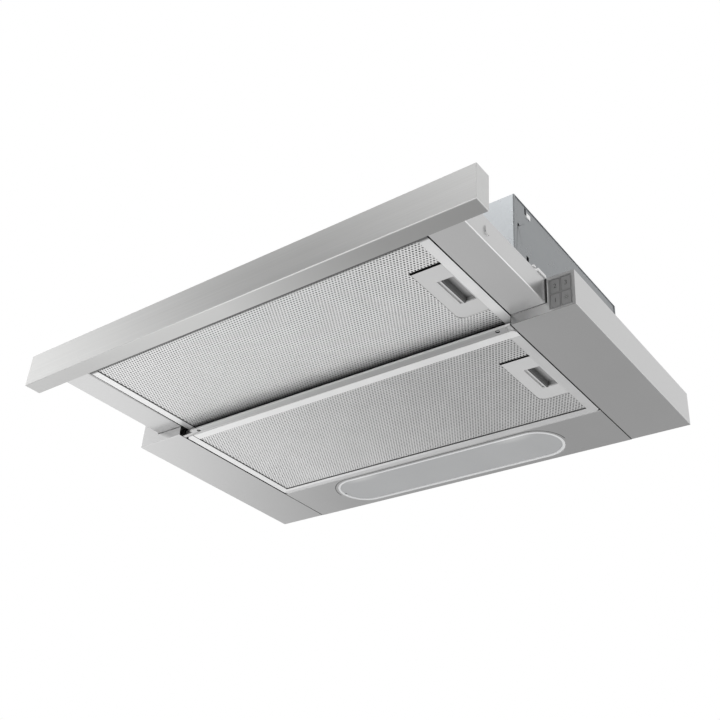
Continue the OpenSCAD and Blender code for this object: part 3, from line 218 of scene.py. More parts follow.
class Finish(NodeTree):
    """A material under construction."""

    def __init__(self, name):
        self.material = bpy.data.materials.new("hood_" + name)
        self.material.use_nodes = True
        super().__init__(self.material.node_tree)
        self.point = self.node("ShaderNodeTexCoord", output="Object")

    def scaled(self, x, y, z):
        """The object's coordinates, stretched."""
        return self.node("ShaderNodeMapping", None, {"Vector": self.point, "Scale": (x, y, z)})

    def axis(self, index):
        """One coordinate of the object, in metres."""
        return self.node("ShaderNodeSeparateXYZ", None, {"Vector": self.point}, index)

    def within(self, index, low, high):
        """Mask of the band between two places along one axis of the object."""
        place = self.axis(index)
        return (place > low) * (place < high)

    def rise(self, index, start, reach):
        """Runs from 0 to 1 over a reach from a start along one axis of the object."""
        return ((self.axis(index) - start) / reach).clamped()

    def noise(self, scale, detail, vector=None):
        """Soft noise, on the object's coordinates unless others are given."""
        return self.node("ShaderNodeTexNoise", {"noise_dimensions": "3D"}, {
            "Vector": vector or self.point, "Scale": scale, "Detail": detail,
            "Roughness": 0.55}, "Fac")

    def cell_walls(self, scale):
        """Distance to the nearest wall between scattered cells."""
        return self.node("ShaderNodeTexVoronoi", {"feature": "DISTANCE_TO_EDGE"},
                         {"Vector": self.point, "Scale": scale}, "Distance")

    def cell_tones(self, scale, vector=None):
        """One tone for each of many scattered cells."""
        cells = self.node("ShaderNodeTexVoronoi", {"feature": "F1"},
                          {"Vector": vector or self.point, "Scale": scale}, "Color")
        return self.node("ShaderNodeSeparateColor", None, {"Color": cells})

    def ramp(self, value, *stops):
        """A ramp of greys between two stops, each a place and a tone."""
        return self.node("ShaderNodeValToRGB", {"stops": stops}, {"Fac": value}, "Color")

    def blend(self, mask, first, second):
        """Mixes two colours, tuples or links, by a mask."""
        def colour(c):
            return c if isinstance(c, Value) else tuple(c)[:3] + (1.0,)
        return self.node("ShaderNodeMix", {"data_type": "RGBA", "blend_type": "MIX"},
                         {0: mask, 6: colour(first), 7: colour(second)}, 2)

    def shades(self, tone, spread, mask):
        """A colour that runs from darker to lighter than tone by spread as mask goes 0 to 1."""
        low = [c * (1.0 - spread) for c in tone]
        high = [min(1.0, c * (1.0 + spread)) for c in tone]
        return self.blend(mask, low, high)

    def bump(self, height, depth_mm, strength):
        """The normal of a relief so many millimetres deep."""
        return self.node("ShaderNodeBump", None, {
            "Height": height, "Distance": depth_mm * MM, "Strength": strength})

    def surface(self, **sockets):
        """Closes the material with one Principled shader."""
        names = {key.replace("_", " ").title(): value for key, value in sockets.items()}
        shader = self.node("ShaderNodeBsdfPrincipled", None, names)
        self.node("ShaderNodeOutputMaterial", None, {"Surface": shader})
        return self.material


def low_side(node, axis):
    """Where a CAD node's box starts along one axis."""
    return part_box(node)[0][axis]


def high_side(node, axis):
    """Where a CAD node's box ends along one axis."""
    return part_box(node)[1][axis]


def times(tone, factor):
    """A colour, darkened or lightened by one factor."""
    return [c * factor for c in tone]


def rail_hole_shade(f):
    """Painted shade: dark cut edges of the two holes and the notch in the front rail's underside.
    """
    low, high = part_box("front_rail")
    holes = (low[X] + 28.0 * MM, high[X] - 16.5 * MM)
    hole_back, hole_radius = 4.2 * MM, 2.4 * MM
    notch_in, notch_reach = 4.0 * MM, (2.6 * MM, 2.8 * MM)
    skin = 1.2 * MM
    cut = 0.0
    for hole in holes:
        x, y = f.axis(X) - hole, f.axis(Y) - low[Y] - hole_back
        cut = (x * x + y * y < hole_radius ** 2) + cut
    notch = (abs(f.axis(X) - high[X] + notch_in) < notch_reach[X]) * (
        abs(f.axis(Y) - (low[Y] + high[Y]) / 2) < notch_reach[Y])
    return (cut + notch) * (f.axis(Z) < skin)


def cheek_front_shade(f):
    """The front face of the tray's right cheek, below and beside the drawer's opening, which gets
    painted shade.
    """
    front = low_side("cheek_right", Y)
    opening_floor, opening_end = 10.8 * MM, 271.5 * MM
    face = f.within(Y, front - 0.2 * MM, front + 0.4 * MM) * (f.axis(X) > 230.0 * MM)
    return face * ((f.axis(Z) < opening_floor) + (f.axis(X) > opening_end)).clamped()


def drawer_underside_lift(f):
    """The underside of the drawer's right side, with the lower half of its fold, which gets
    painted light.
    """
    tray_front, half_fold = low_side("cheek_right", Y), 0.8 * MM
    return ((f.axis(X) > 0.0) * (f.axis(Y) < tray_front - 1.0 * MM)
            * (f.axis(Z) < low_side("drawer_side_right", Z) + half_fold))


def lens_distance(f):
    """Distance from the lens's middle line, distance across it, and the lens's end radius."""
    low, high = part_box("lamp_lens")
    radius = (high[Y] - low[Y]) / 2
    straight = (high[X] - low[X]) / 2 - radius
    past = (abs(f.axis(X) - (low[X] + high[X]) / 2) - straight).math("MAXIMUM", 0.0)
    across = f.axis(Y) - (low[Y] + high[Y]) / 2
    return (past * past + across * across).math("SQRT"), across, radius


def lens_gap_shade(f):
    """Painted shade: a dark line in the lamp panel's gap along the front of the lens."""
    distance, across, radius = lens_distance(f)
    gap, panel = 1.1 * MM, 2.0 * MM
    away = distance - radius
    return (away > 0.0) * (away < gap) * (across < 0.0) * (f.axis(Z) < panel)


def tray_paint(colours):
    """Silver paint: fine metallic flake, faint orange peel and hand marks, with painted shade in
    gaps, holes and on the right cheek's front, and painted light under the drawer's right side.
    """
    f = Finish("tray_paint")
    flake = f.cell_tones(2600.0)
    cloud = f.noise(7.0, 3.0)
    peel = f.noise(420.0, 2.0)
    mask = (flake * 0.35 + cloud * 0.65).clamped()
    # Painted shade: the wall faces just inside the drawer's sides, the lens gap and the rail's
    # holes go near black.
    inner = low_side("drawer_side_right", X)
    outward = abs(f.axis(X))
    gap_wall_shade = (outward > inner - 1.3 * MM) * (outward < inner + 0.05 * MM)
    gaps = (gap_wall_shade + lens_gap_shade(f) * 0.8 + rail_hole_shade(f)).clamped()
    # Painted light: the drawer's right underside and the lower half of its fold are painted
    # lighter.
    lifted_paint = f.blend(drawer_underside_lift(f), f.shades(colours.paint, 0.05, mask),
                    f.shades(times(colours.paint, 1.30), 0.05, mask))
    # Painted shade: the right cheek's front is darker, darkest next to the drawer.
    shaded = f.blend(f.rise(X, 245.0 * MM, 26.0 * MM),
                     times(colours.paint, 0.38), times(colours.paint, 0.64))
    paint = f.blend(cheek_front_shade(f), lifted_paint, shaded)
    return f.surface(base_color=f.blend(gaps, paint, GAP_SHADE_DARK),
                     roughness=0.26 + cloud * 0.08, metallic=0.88,
                     normal=f.bump(peel, 0.004, 0.3))


def stainless(colours):
    """Brushed steel with its grain along X; painted shade makes the fascia's underside darker to
    its ends.
    """
    f = Finish("stainless")
    grain = f.noise(1.0, 4.0, f.scaled(9.0, 1500.0, 1500.0))
    long_grain = f.noise(1.0, 2.0, f.scaled(2.0, 330.0, 330.0))
    smear = f.noise(5.0, 3.0, f.scaled(1.0, 2.5, 2.5))
    mask = (grain * 0.6 + long_grain * 0.4).clamped()
    below = f.axis(Z) < low_side("fascia", Z) + 0.3 * MM
    # Painted shade: the fascia's underside lighter in the middle, darker to its ends.
    outward = (abs(f.axis(X)) / (200.0 * MM)).clamped()
    underside = f.blend(outward, times(colours.steel, 1.08), times(colours.steel, 0.82))
    return f.surface(base_color=f.blend(below, f.shades(colours.steel, 0.13, mask), underside),
                     roughness=0.26 + mask * 0.12 + smear * 0.08, metallic=0.95,
                     normal=f.bump(mask, 0.02, 0.25))


def zinc_sheet(colours):
    """Galvanised sheet with large faint spangles; painted light makes the blower box's front
    lighter and its sides darker, and the raised pads on its sides near-white as a painted
    highlight.
    """
    f = Finish("zinc_sheet")
    warp = f.noise(60.0, 2.0)
    bend = (0.006, 0.006, 0.006)
    bent = f.node("ShaderNodeVectorMath", {"operation": "MULTIPLY_ADD"},
                  (f.node("ShaderNodeCombineXYZ", None, (warp, warp, warp)), bend, f.point))
    spangle = f.cell_tones(120.0, bent)
    cloud = f.noise(6.0, 3.0)
    fine = f.noise(900.0, 2.0)
    mask = (spangle * 0.5 + cloud * 0.35 + fine * 0.15).clamped()
    outward = abs(f.axis(X))
    # Painted light: the front lighter and the sides darker, lit and shaded copies of one zinc;
    # the raised pad on each side is painted near-white as a painted highlight.
    side, pad_face = outward > 229.6 * MM, outward > 230.3 * MM
    pad_highlight = pad_face * f.within(Y, -13.6 * MM, -5.4 * MM) * f.within(Z, 160.9 * MM, 167.1 * MM)
    front = f.axis(Y) < low_side("housing_wrap", Y) + 0.3 * MM
    wrap = f.blend(front, f.shades(colours.zinc, 0.10, mask),
                   f.shades(times(colours.zinc, 1.20), 0.10, mask))
    sheet = f.blend(side, wrap, f.shades(times(colours.zinc, 0.49), 0.10, mask))
    return f.surface(base_color=f.blend(pad_highlight, sheet, (0.95, 0.95, 0.95)),
                     roughness=0.26 + spangle * 0.14, metallic=0.8,
                     normal=f.bump(fine * 0.3 + spangle * 0.3, 0.02, 0.25))


def runner_steel(colours):
    """Bright zinc-plated steel, drawn along Y."""
    f = Finish("runner_steel")
    drawn = f.noise(1.0, 3.0, f.scaled(1200.0, 8.0, 1200.0))
    tint = f.noise(24.0, 2.0)
    return f.surface(base_color=f.blend(tint, times(colours.steel, 1.05), (0.50, 0.56, 0.62)),
                     roughness=0.22 + drawn * 0.16, metallic=0.9,
                     normal=f.bump(drawn, 0.015, 0.3))


def fastener_steel(colours):
    """Small plated screws, rivets and pins."""
    f = Finish("fastener_steel")
    pits = f.noise(1500.0, 3.0)
    stain = f.noise(300.0, 2.0)
    return f.surface(base_color=f.shades(colours.steel, 0.16, stain),
                     roughness=0.24 + pits * 0.2, metallic=0.92, normal=f.bump(pits, 0.03, 0.4))


def rear_gap_shadow(f):
    """Painted shadow: a dark line where the drawer's filter runs in over the front rail."""
    deeper = f.rise(Y, low_side("front_rail", Y) - 9.0 * MM, 21.0 * MM)
    return deeper * deeper * deeper * f.within(Z, 11.8 * MM, 22.0 * MM)


def border_shade(f):
    """Shade along the left and rear borders of the meshes and under the fascia's rear edge."""
    bar = bpy.context.scene.hood_sizes.bar_width
    low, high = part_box("fixed_filter_frame")
    left, right, rear = low[X] + HINGE_TAB + bar, high[X] - bar, high[Y] - bar
    hair = 0.05 * MM
    on_fixed = f.axis(Y) > low[Y] + bar
    on_drawer = f.axis(Y) < high_side("drawer_filter_frame", Y) - bar
    left_line = (f.within(X, left - hair, left + 1.3 * MM) * (f.axis(Y) < rear + hair)
                 * (on_fixed + on_drawer).clamped())
    rear_line = f.within(Y, rear - 1.5 * MM, rear + hair) * f.within(X, left, right)
    shadow_end = high_side("fascia", Y) + 17.0 * MM
    front_shadow = ((shadow_end - f.axis(Y)) / (3.0 * MM)).clamped()
    return (left_line + front_shadow + rear_line).clamped()


def filter_aluminium(colours):
    """Bright pressed aluminium with a speckled skin; painted shade makes it darker towards the
    right and on the rear bar, and draws dark lines along gaps and borders.
    """
    f = Finish("filter_aluminium")
    speck = f.noise(1100.0, 3.0)
    patch = f.noise(28.0, 4.0)
    mask = (speck * 0.55 + patch * 0.45).clamped()
    low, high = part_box("fixed_filter_frame")
    bar = bpy.context.scene.hood_sizes.bar_width
    # Painted shade: the fixed frame's right wall, seen in a gap, goes near black.
    right_wall_shade = f.axis(X) > high[X] - 0.06 * MM
    shade_lines = (rear_gap_shadow(f) + right_wall_shade + border_shade(f) * 0.85).clamped()
    # Painted shade: the fixed filter darker towards the right and on its rear bar.
    rightward = f.rise(X, -150.0 * MM, 250.0 * MM)
    rear_bar = f.axis(Y) > high[Y] - 6.0 * MM
    falloff_shade = (rightward * (f.axis(Y) > low[Y] + bar) + rear_bar * 0.8).clamped()
    sheet = f.blend(falloff_shade, f.shades(colours.aluminium, 0.10, mask),
                    f.shades(times(colours.aluminium, 0.74), 0.10, mask))
    return f.surface(base_color=f.blend(shade_lines, sheet, GAP_SHADE_DARK),
                     roughness=0.30 + patch * 0.22, metallic=0.48,
                     normal=f.bump(speck, 0.05, 0.35))


def mesh_aluminium(colours):
    """Layers of stretched mesh: thin bright strands over dark gaps; painted shade darkens them
    towards the rear, blackens the mesh seen through the latch slots, and draws a painted shadow
    along the front rail.
    """
    f = Finish("mesh_aluminium")
    strand = f.ramp(f.cell_walls(520.0), (0.05, 1.0), (0.22, 0.0))
    under = f.ramp(f.cell_walls(330.0), (0.05, 1.0), (0.20, 0.0))
    mask = (strand + under * 0.5).clamped()
    # Painted shade: the strands darker towards the rear.
    rearward = f.rise(Y, low_side("front_rail", Y), 40.0 * MM)
    bright = f.blend(rearward, times(colours.strands, 1.08), times(colours.strands, 0.84))
    layers = f.blend(mask, times(colours.strands, 0.12), bright)
    # Painted shade: the mesh seen through each latch slot goes black.
    slots = 0.0
    for plate in LATCH_PLATES:
        left, front = low_side(plate, X), low_side(plate, Y)
        slots = (f.within(Y, front - 4.6 * MM, front + 0.5 * MM)
                 * (f.axis(X) > left - 0.6 * MM) + slots)
    layers = f.blend(slots, layers, (0.004, 0.004, 0.004))
    return f.surface(base_color=f.blend(rear_gap_shadow(f), layers, WALL_DARK),
                     roughness=0.5 - mask * 0.12, metallic=0.4,
                     normal=f.bump(mask, 0.5, 0.8))


def grain_and_flow(f, grain):
    """Fine spark grain, slow flow marks, and a mask of both."""
    fine = f.noise(grain, 2.0)
    flow = f.noise(14.0, 3.0)
    return fine, flow, (flow * 0.7 + fine * 0.3).clamped()


def plastic(name, tone, roughness, grain_mm=0.03, grain=1500.0):
    """Moulded plastic with a fine spark grain and slow flow marks."""
    f = Finish(name)
    fine, flow, mask = grain_and_flow(f, grain)
    return f.surface(base_color=f.shades(tone, 0.10, mask),
                     roughness=roughness - 0.06 + flow * 0.12,
                     normal=f.bump(fine, grain_mm, 0.45))


def pale_plastic(colours):
    """Grey moulding of the latch plates, with painted shade dark on the wall behind the slot in
    the face sheet.
    """
    f = Finish("pale_plastic")
    fine, flow, mask = grain_and_flow(f, 1500.0)
    wall_shade = 0.0
    for plate in LATCH_PLATES:
        front = low_side(plate, Y)
        wall_shade = f.within(Y, front - 0.1 * MM, front + 0.05 * MM) + wall_shade
    return f.surface(base_color=f.blend(wall_shade, f.shades(colours.pale, 0.08, mask), WALL_DARK),
                     roughness=0.38 + flow * 0.12, normal=f.bump(fine, 0.03, 0.4))


def white_plastic(colours):
    """Smooth white moulding; painted shade fills the latches' finger cups, darkest at their lip.
    """
    f = Finish("white_plastic")
    fine, flow, mask = grain_and_flow(f, 1500.0)
    latch_start, cup_start, cup_end, latch_end = (n * MM for n in (195.0, 202.6, 217.0, 230.0))
    latch, cup = f.within(X, latch_start, latch_end), f.within(X, cup_start, cup_end)
    # Painted shade in the finger cups: near black at the lip, lighter away from it.
    cup_shade = f.blend(f.rise(X, cup_start + 0.6 * MM, 6.5 * MM), (0.04, 0.04, 0.04),
                   (0.42, 0.42, 0.42))
    base = f.blend(latch, f.shades(colours.white, 0.08, mask),
                   f.shades(times(colours.white, 0.72), 0.05, flow))
    return f.surface(base_color=f.blend(cup, base, cup_shade), roughness=0.32 + flow * 0.12,
                     normal=f.bump(fine, 0.03, 0.4))


def cage_brass(colours):
    """Worn brass of the ball cages."""
    f = Finish("cage_brass")
    wear = f.noise(260.0, 3.0)
    return f.surface(base_color=f.shades(colours.brass, 0.18, wear), roughness=0.24 + wear * 0.2,
                     metallic=0.95, normal=f.bump(wear, 0.02, 0.4))


def lens_plastic(colours):
    """Frosted cover: fine prisms, a paler edge band as a painted highlight, and two faint painted
    glows where the lamps sit behind it.
    """
    f = Finish("lens_plastic")
    distance, _, radius = lens_distance(f)
    rim_width, rim_height = 6.2 * MM, 1.1 * MM
    # Painted highlight: the rim paler than the frosted face.
    rim = (distance > radius - rim_width) * (f.axis(Z) < rim_height)
    lamp_x, lamp_y = 112.0 * MM, low_side("lamp_lens", Y) + 9.0 * MM
    spot_x, spot_y = abs(f.axis(X)) - lamp_x, f.axis(Y) - lamp_y
    fade_x, fade_y = 900.0, 9000.0
    # Painted light: two faint emitted glows where the lamps sit behind the cover.
    painted_lamp_glow = (1.0 - (spot_x * spot_x * fade_x + spot_y * spot_y * fade_y)).clamped()
    prism = f.noise(1.0, 1.0, f.scaled(700.0, 700.0, 700.0))
    cloud = f.noise(18.0, 2.0)
    frosted = f.shades(colours.lens, 0.05, cloud)
    return f.surface(base_color=f.blend(rim, frosted, colours.lens_rim),
                     roughness=0.46 + cloud * 0.1,
                     emission_color=f.blend(painted_lamp_glow * painted_lamp_glow, (0.0, 0.0, 0.0), (1.0, 0.98, 0.94)),
                     emission_strength=0.10, normal=f.bump(prism, 0.06, 0.3))


def lamp_glass(colours):
    """Opal glass of the two lamps."""
    f = Finish("lamp_glass")
    cloud = f.noise(60.0, 2.0)
    return f.surface(base_color=f.shades(colours.opal, 0.04, cloud),
                     roughness=0.12 + cloud * 0.1,
                     emission_color=f.blend(cloud, (1.0, 0.97, 0.92), (1.0, 0.99, 0.96)),
                     emission_strength=0.25, normal=f.bump(cloud, 0.02, 0.2))


def lamp_box_paint(colours):
    """White baked paint inside the lamp box."""
    f = Finish("lamp_box_paint")
    peel = f.noise(380.0, 2.0)
    cloud = f.noise(9.0, 2.0)
    return f.surface(base_color=f.shades(colours.lamp_box, 0.05, cloud),
                     roughness=0.34 + cloud * 0.1, normal=f.bump(peel, 0.03, 0.4))


def motor_steel(colours):
    """The motor's stator: a laminated stack with copper windings at its ends."""
    f = Finish("motor_steel")
    low, high = low_side("motor_stator", X), high_side("motor_stator", X)
    winding = 7.0 * MM
    ends = ((f.axis(X) < low + winding) + (f.axis(X) > high - winding)).clamped()
    copper = ends * f.within(X, low, high)
    sheets = f.node("ShaderNodeTexWave", {"wave_type": "BANDS", "bands_direction": "X"},
                    {"Vector": f.point, "Scale": 320.0, "Distortion": 0.3}, "Fac")
    turns = f.noise(1.0, 2.0, f.scaled(1400.0, 260.0, 260.0))
    metal = f.shades(colours.stator, 0.25, sheets)
    wire = f.shades(colours.copper, 0.3, turns)
    relief = sheets * (1.0 - copper) + turns * copper
    return f.surface(base_color=f.blend(copper, metal, wire), roughness=0.36 + turns * 0.14,
                     metallic=0.75, normal=f.bump(relief, 0.15, 0.5))


def finishes(colours):
    """Every finish of the hood, by the record's slot."""
    return {
        "tray_paint": tray_paint(colours),
        "stainless": stainless(colours),
        "zinc_sheet": zinc_sheet(colours),
        "runner_steel": runner_steel(colours),
        "fastener_steel": fastener_steel(colours),
        "filter_aluminium": filter_aluminium(colours),
        "mesh_aluminium": mesh_aluminium(colours),
        "dark_plastic": plastic("dark_plastic", colours.dark, 0.48),
        "grey_plastic": plastic("grey_plastic", colours.buttons, 0.42),
        "pale_plastic": pale_plastic(colours),
        "white_plastic": white_plastic(colours),
        "cage_brass": cage_brass(colours),
        "lens_plastic": lens_plastic(colours),
        "lamp_glass": lamp_glass(colours),
        "lamp_box_paint": lamp_box_paint(colours),
        "ceramic": plastic("ceramic", colours.ceramic, 0.3, 0.02, 700.0),
        "motor_steel": motor_steel(colours),
        "capacitor_case": plastic("capacitor_case", colours.capacitor, 0.36),
    }


def clear_selection():
    """Leaves nothing selected, so that an operator acts on the next primitive only."""
    if bpy.context.object and bpy.context.object.mode != "OBJECT":
        bpy.ops.object.mode_set(mode="OBJECT")
    bpy.ops.object.select_all(action="DESELECT")


def face_plane(mesh, axis, side):
    """Place of the outermost large flat face that looks out along one side of an axis."""
    straight, large_share = 0.999, 0.4
    areas = {}
    for face in mesh.polygons:
        if face.normal[axis] * (2 * side - 1) > straight:
            place = round(face.center[axis], 5)
            areas[place] = areas.get(place, 0.0) + face.area
    least = large_share * max(areas.values())
    large = [place for place, area in areas.items() if area > least]
    return max(large) if side else min(large)


def fold_edges(name, open_sides):
    """Marks a node's outer fold edges, those on two of its outer faces that are not open."""
    mesh = NODES[name].data
    planes = [(axis, side, face_plane(mesh, axis, side)) for axis in (X, Y, Z)
              for side in (0, 1)]
    marks = mesh.attributes.new("bevel_weight_edge", "FLOAT", "EDGE")
    for edge in mesh.edges:
        ends = [mesh.vertices[i].co for i in edge.vertices]
        met = {"xyz"[axis] + "-+"[side] for axis, side, place in planes
               if all(abs(end[axis] - place) < 0.02 * MM for end in ends)}
        if len(met) > 1 and not met & set(open_sides):
            marks.data[edge.index].value = 1.0


def dress(names, edge_mm=0.0, fold_mm=0.0, open_sides=()):
    """Gives CAD nodes their slot's finish and, where asked, rounded folds and soft edges."""
    for name in names:
        node = NODES[name]
        finish = bpy.data.materials.get("hood_" + SLOT_OF[name])
        if finish is None:
            raise RuntimeError("no finish for " + name)
        if not node.material_slots:
            node.data.materials.append(finish)
        for place in node.material_slots:
            place.material = finish
        if edge_mm or fold_mm:
            weld = node.modifiers.new("joined", "WELD")
            weld.merge_threshold = 0.004 * MM
        if fold_mm:
            fold_edges(name, open_sides)
            fold = node.modifiers.new("folds", "BEVEL")
            fold.width = fold_mm * MM
            fold.segments = 3
            fold.limit_method = "WEIGHT"
            fold.use_clamp_overlap = False
        if edge_mm:
            soft = node.modifiers.new("soft_edges", "BEVEL")
            soft.width = edge_mm * MM
            soft.segments = 2
            soft.limit_method = "ANGLE"
            soft.angle_limit = math.radians(40)


def pick_faces(piece, test):
    """In edit mode, selects the faces whose middle passes the test."""
    mesh = bmesh.from_edit_mesh(piece.data)
    for face in mesh.faces:
        face.select_set(test(face.calc_center_median()))
    mesh.select_flush_mode()
    bmesh.update_edit_mesh(piece.data)


def hole_field(context, name, start, width, depth):
    """A six-sided cell with a hole in it, repeated in staggered rows; left in edit mode."""
    sizes = context.scene.hood_sizes
    pitch = sizes.hole_pitch
    row = pitch * math.sqrt(3) / 2
    clear_selection()
    bpy.ops.mesh.primitive_circle_add(vertices=6, radius=pitch / math.sqrt(3),
                                      fill_type="NGON", location=start)
    sheet = context.object
    sheet.name = name
    bpy.ops.object.transform_apply(location=True, rotation=True, scale=True)
    bpy.ops.object.mode_set(mode="EDIT")
    bpy.ops.mesh.select_mode(type="FACE")
    bpy.ops.mesh.select_all(action="SELECT")
    bpy.ops.mesh.inset(thickness=(pitch - sizes.hole_size) / 2, depth=0.0)
    bpy.ops.mesh.extrude_region_move(
        TRANSFORM_OT_translate={"value": (0.0, 0.0, sizes.sheet_thickness)})
    bpy.ops.mesh.delete(type="FACE")
    bpy.ops.mesh.select_all(action="SELECT")
    bpy.ops.mesh.flip_normals()
    bpy.ops.mesh.duplicate_move(TRANSFORM_OT_translate={"value": (pitch / 2, row, 0.0)})
    bpy.ops.object.mode_set(mode="OBJECT")
    for label, step, count in (
            ("holes", (pitch, 0.0, 0.0), math.ceil(width / pitch) + 1),
            ("rows", (0.0, 2 * row, 0.0), math.ceil(depth / (2 * row)) + 1)):
        copies = sheet.modifiers.new(label, "ARRAY")
        copies.use_relative_offset = False
        copies.use_constant_offset = True
        copies.constant_offset_displace = step
        copies.count = count
        bpy.ops.object.modifier_apply(modifier=label)
    bpy.ops.object.mode_set(mode="EDIT")
    bpy.ops.mesh.select_all(action="SELECT")
    bpy.ops.mesh.remove_doubles(threshold=0.01 * MM)
    return sheet


def clear_latch_plate(sheet, plate_node, margin):
    """Cuts the sheet away over the latch plate and the slot in front of it, in edit mode."""
    plate_low, plate_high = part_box(plate_node)
    gap, slot, corner = 0.3 * MM, 3.6 * MM, 7.0 * MM
    left, front, rear = plate_low[X] - gap, plate_low[Y] - slot, plate_high[Y] + gap
    for place, normal in (((left, 0, 0), (1, 0, 0)), ((0, front, 0), (0, 1, 0)),
                          ((0, rear, 0), (0, 1, 0))):
        pick_faces(sheet, lambda c: c.x > left - margin
                   and front - margin < c.y < rear + margin)
        bpy.ops.mesh.bisect(plane_co=place, plane_no=normal)
    pick_faces(sheet, lambda c: c.x > left and front < c.y < rear and not (
        c.x < left + corner and c.y > rear - corner
        and math.hypot(c.x - left - corner, c.y - rear + corner) > corner))
    bpy.ops.mesh.delete(type="FACE")


def face_sheet(context, name, body, frame_node, plate_node):
    """Perforated sheet over a filter's mesh, open round the filter's latch plate."""
    sizes = context.scene.hood_sizes
    low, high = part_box(frame_node)
    reach = sizes.bar_width - sizes.sheet_overlap
    x0, x1 = low[X] + HINGE_TAB + reach, high[X] - reach
    y0, y1 = low[Y] + reach, high[Y] - reach
    sheet = hole_field(context, name, (x0, y0, low[Z] + sizes.sheet_gap), x1 - x0, y1 - y0)
    for place, normal in (((x0, 0, 0), (-1, 0, 0)), ((x1, 0, 0), (1, 0, 0)),
                          ((0, y0, 0), (0, -1, 0)), ((0, y1, 0), (0, 1, 0))):
        bpy.ops.mesh.select_all(action="SELECT")
        bpy.ops.mesh.bisect(plane_co=place, plane_no=normal, clear_outer=True)
    clear_latch_plate(sheet, plate_node, 2 * sizes.hole_pitch)
    bpy.ops.object.mode_set(mode="OBJECT")
    sheet.data.materials.append(bpy.data.materials["hood_filter_aluminium"])
    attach(sheet, body)


def number_sign(context, middle, text):
    """A number as a flat mesh, upright and facing the front."""
    bpy.ops.object.text_add(location=middle, rotation=UPRIGHT)
    mark = context.object
    mark.data.body = text
    mark.data.size = context.scene.hood_sizes.legend_height * 1.4
    mark.data.align_x = "CENTER"
    mark.data.align_y = "CENTER"
    mark.data.resolution_u = 3
    bpy.ops.object.convert(target="MESH")


def lamp_sign(context, middle):
    """A lamp sign as a flat mesh: a ring with eight rays, facing the front."""
    radius = context.scene.hood_sizes.legend_height * 0.27
    line, ray_size, ray_place = radius * 0.28, radius * 0.3, radius * 1.75
    bpy.ops.mesh.primitive_circle_add(vertices=20, radius=radius, fill_type="NGON",
                                      location=middle, rotation=UPRIGHT)
    mark = context.object
    bpy.ops.object.mode_set(mode="EDIT")
    bpy.ops.mesh.select_all(action="SELECT")
    bpy.ops.mesh.inset(thickness=line, depth=0.0)
    bpy.ops.mesh.delete(type="FACE")
    bpy.ops.object.mode_set(mode="OBJECT")
    rays = []
    for turn in range(8):
        angle = math.radians(45 * turn + 22.5)
        way = Vector((math.sin(angle), 0.0, math.cos(angle)))
        bpy.ops.mesh.primitive_plane_add(size=ray_size, rotation=UPRIGHT,
                                         location=Vector(middle) + way * ray_place)
        ray = context.object
        ray.scale = (0.7, 2.2, 1.0)
        ray.rotation_euler = (UPRIGHT[X], angle, 0)
        rays.append(ray)
    for ray in rays:
        ray.select_set(True)
    mark.select_set(True)
    context.view_layer.objects.active = mark
    bpy.ops.object.join()


def printed_mark(context, name, node, body, text=None):
    """A number, or a lamp sign, standing a hair off a button's face."""
    low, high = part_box(node)
    front = low[Y] - context.scene.hood_sizes.legend_relief
    middle = ((low[X] + high[X]) / 2, front, (low[Z] + high[Z]) / 2)
    clear_selection()
    if text:
        number_sign(context, middle, text)
    else:
        lamp_sign(context, middle)
    mark = context.object
    mark.name = name
    bpy.ops.object.transform_apply(location=True, rotation=True, scale=True)
    mark.data.materials.clear()
    mark.data.materials.append(bpy.data.materials["hood_dark_plastic"])
    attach(mark, body)


class HOOD_OT_finishes(bpy.types.Operator):
    """Makes every finish of the hood"""

    bl_idname = "hood.finishes"
    bl_label = "Finishes"

    def execute(self, context):
        made = finishes(context.scene.hood_colours)
        missing = set(SLOT_OF.values()) - set(made)
        if missing:
            raise RuntimeError("no finish for slots " + ", ".join(sorted(missing)))
        return {"FINISHED"}


class HOOD_OT_tray(bpy.types.Operator):
    """Dresses the fixed tray: cheeks, rail, lamp panel, top plate and glides"""

    bl_idname = "hood.tray"
    bl_label = "Tray"

    def execute(self, context):
        dress(("cheek_left", "cheek_right"), 0.25, 1.1, ("z+",))
        dress(("front_rail", "lamp_panel"), 0.3)
        dress(("top_plate",))
        dress(("drawer_glides",), 0.3)
        return {"FINISHED"}


class HOOD_OT_box(bpy.types.Operator):
    """Dresses the galvanised blower box and its rivets"""

    bl_idname = "hood.box"
    bl_label = "Blower box"

    def execute(self, context):
        dress(("housing_wrap",), 0.2, 1.0, ("z-",))
        dress(("housing_side_left", "housing_side_right"), 0.3)
        dress(("housing_rivets",), 0.2)
        return {"FINISHED"}


class HOOD_OT_blower(bpy.types.Operator):
    """Dresses the scroll, wheel and motor"""

    bl_idname = "hood.blower"
    bl_label = "Blower"

    def execute(self, context):
        dress(("scroll_left", "scroll_right", "motor_end_caps"), 0.3)
        dress(("blower_wheel", "motor_rotor", "motor_stator", "motor_bracket", "casing_screws"))
        return {"FINISHED"}


class HOOD_OT_fascia(bpy.types.Operator):
    """Dresses the stainless fascia and its back plate"""

    bl_idname = "hood.fascia"
    bl_label = "Fascia"

    def execute(self, context):
        dress(("fascia",), 0.3, 1.0, ("y+",))
        dress(("fascia_back", "drawer_screws"))
        return {"FINISHED"}


class HOOD_OT_drawer(bpy.types.Operator):
    """Dresses the drawer's sides, rear angle and top sheet"""

    bl_idname = "hood.drawer"
    bl_label = "Drawer"

    def execute(self, context):
        dress(("drawer_side_left", "drawer_side_right"), 0.3, 1.1, ("z+", "y+", "y-"))
        dress(("drawer_rear_bar", "drawer_top"))
        return {"FINISHED"}


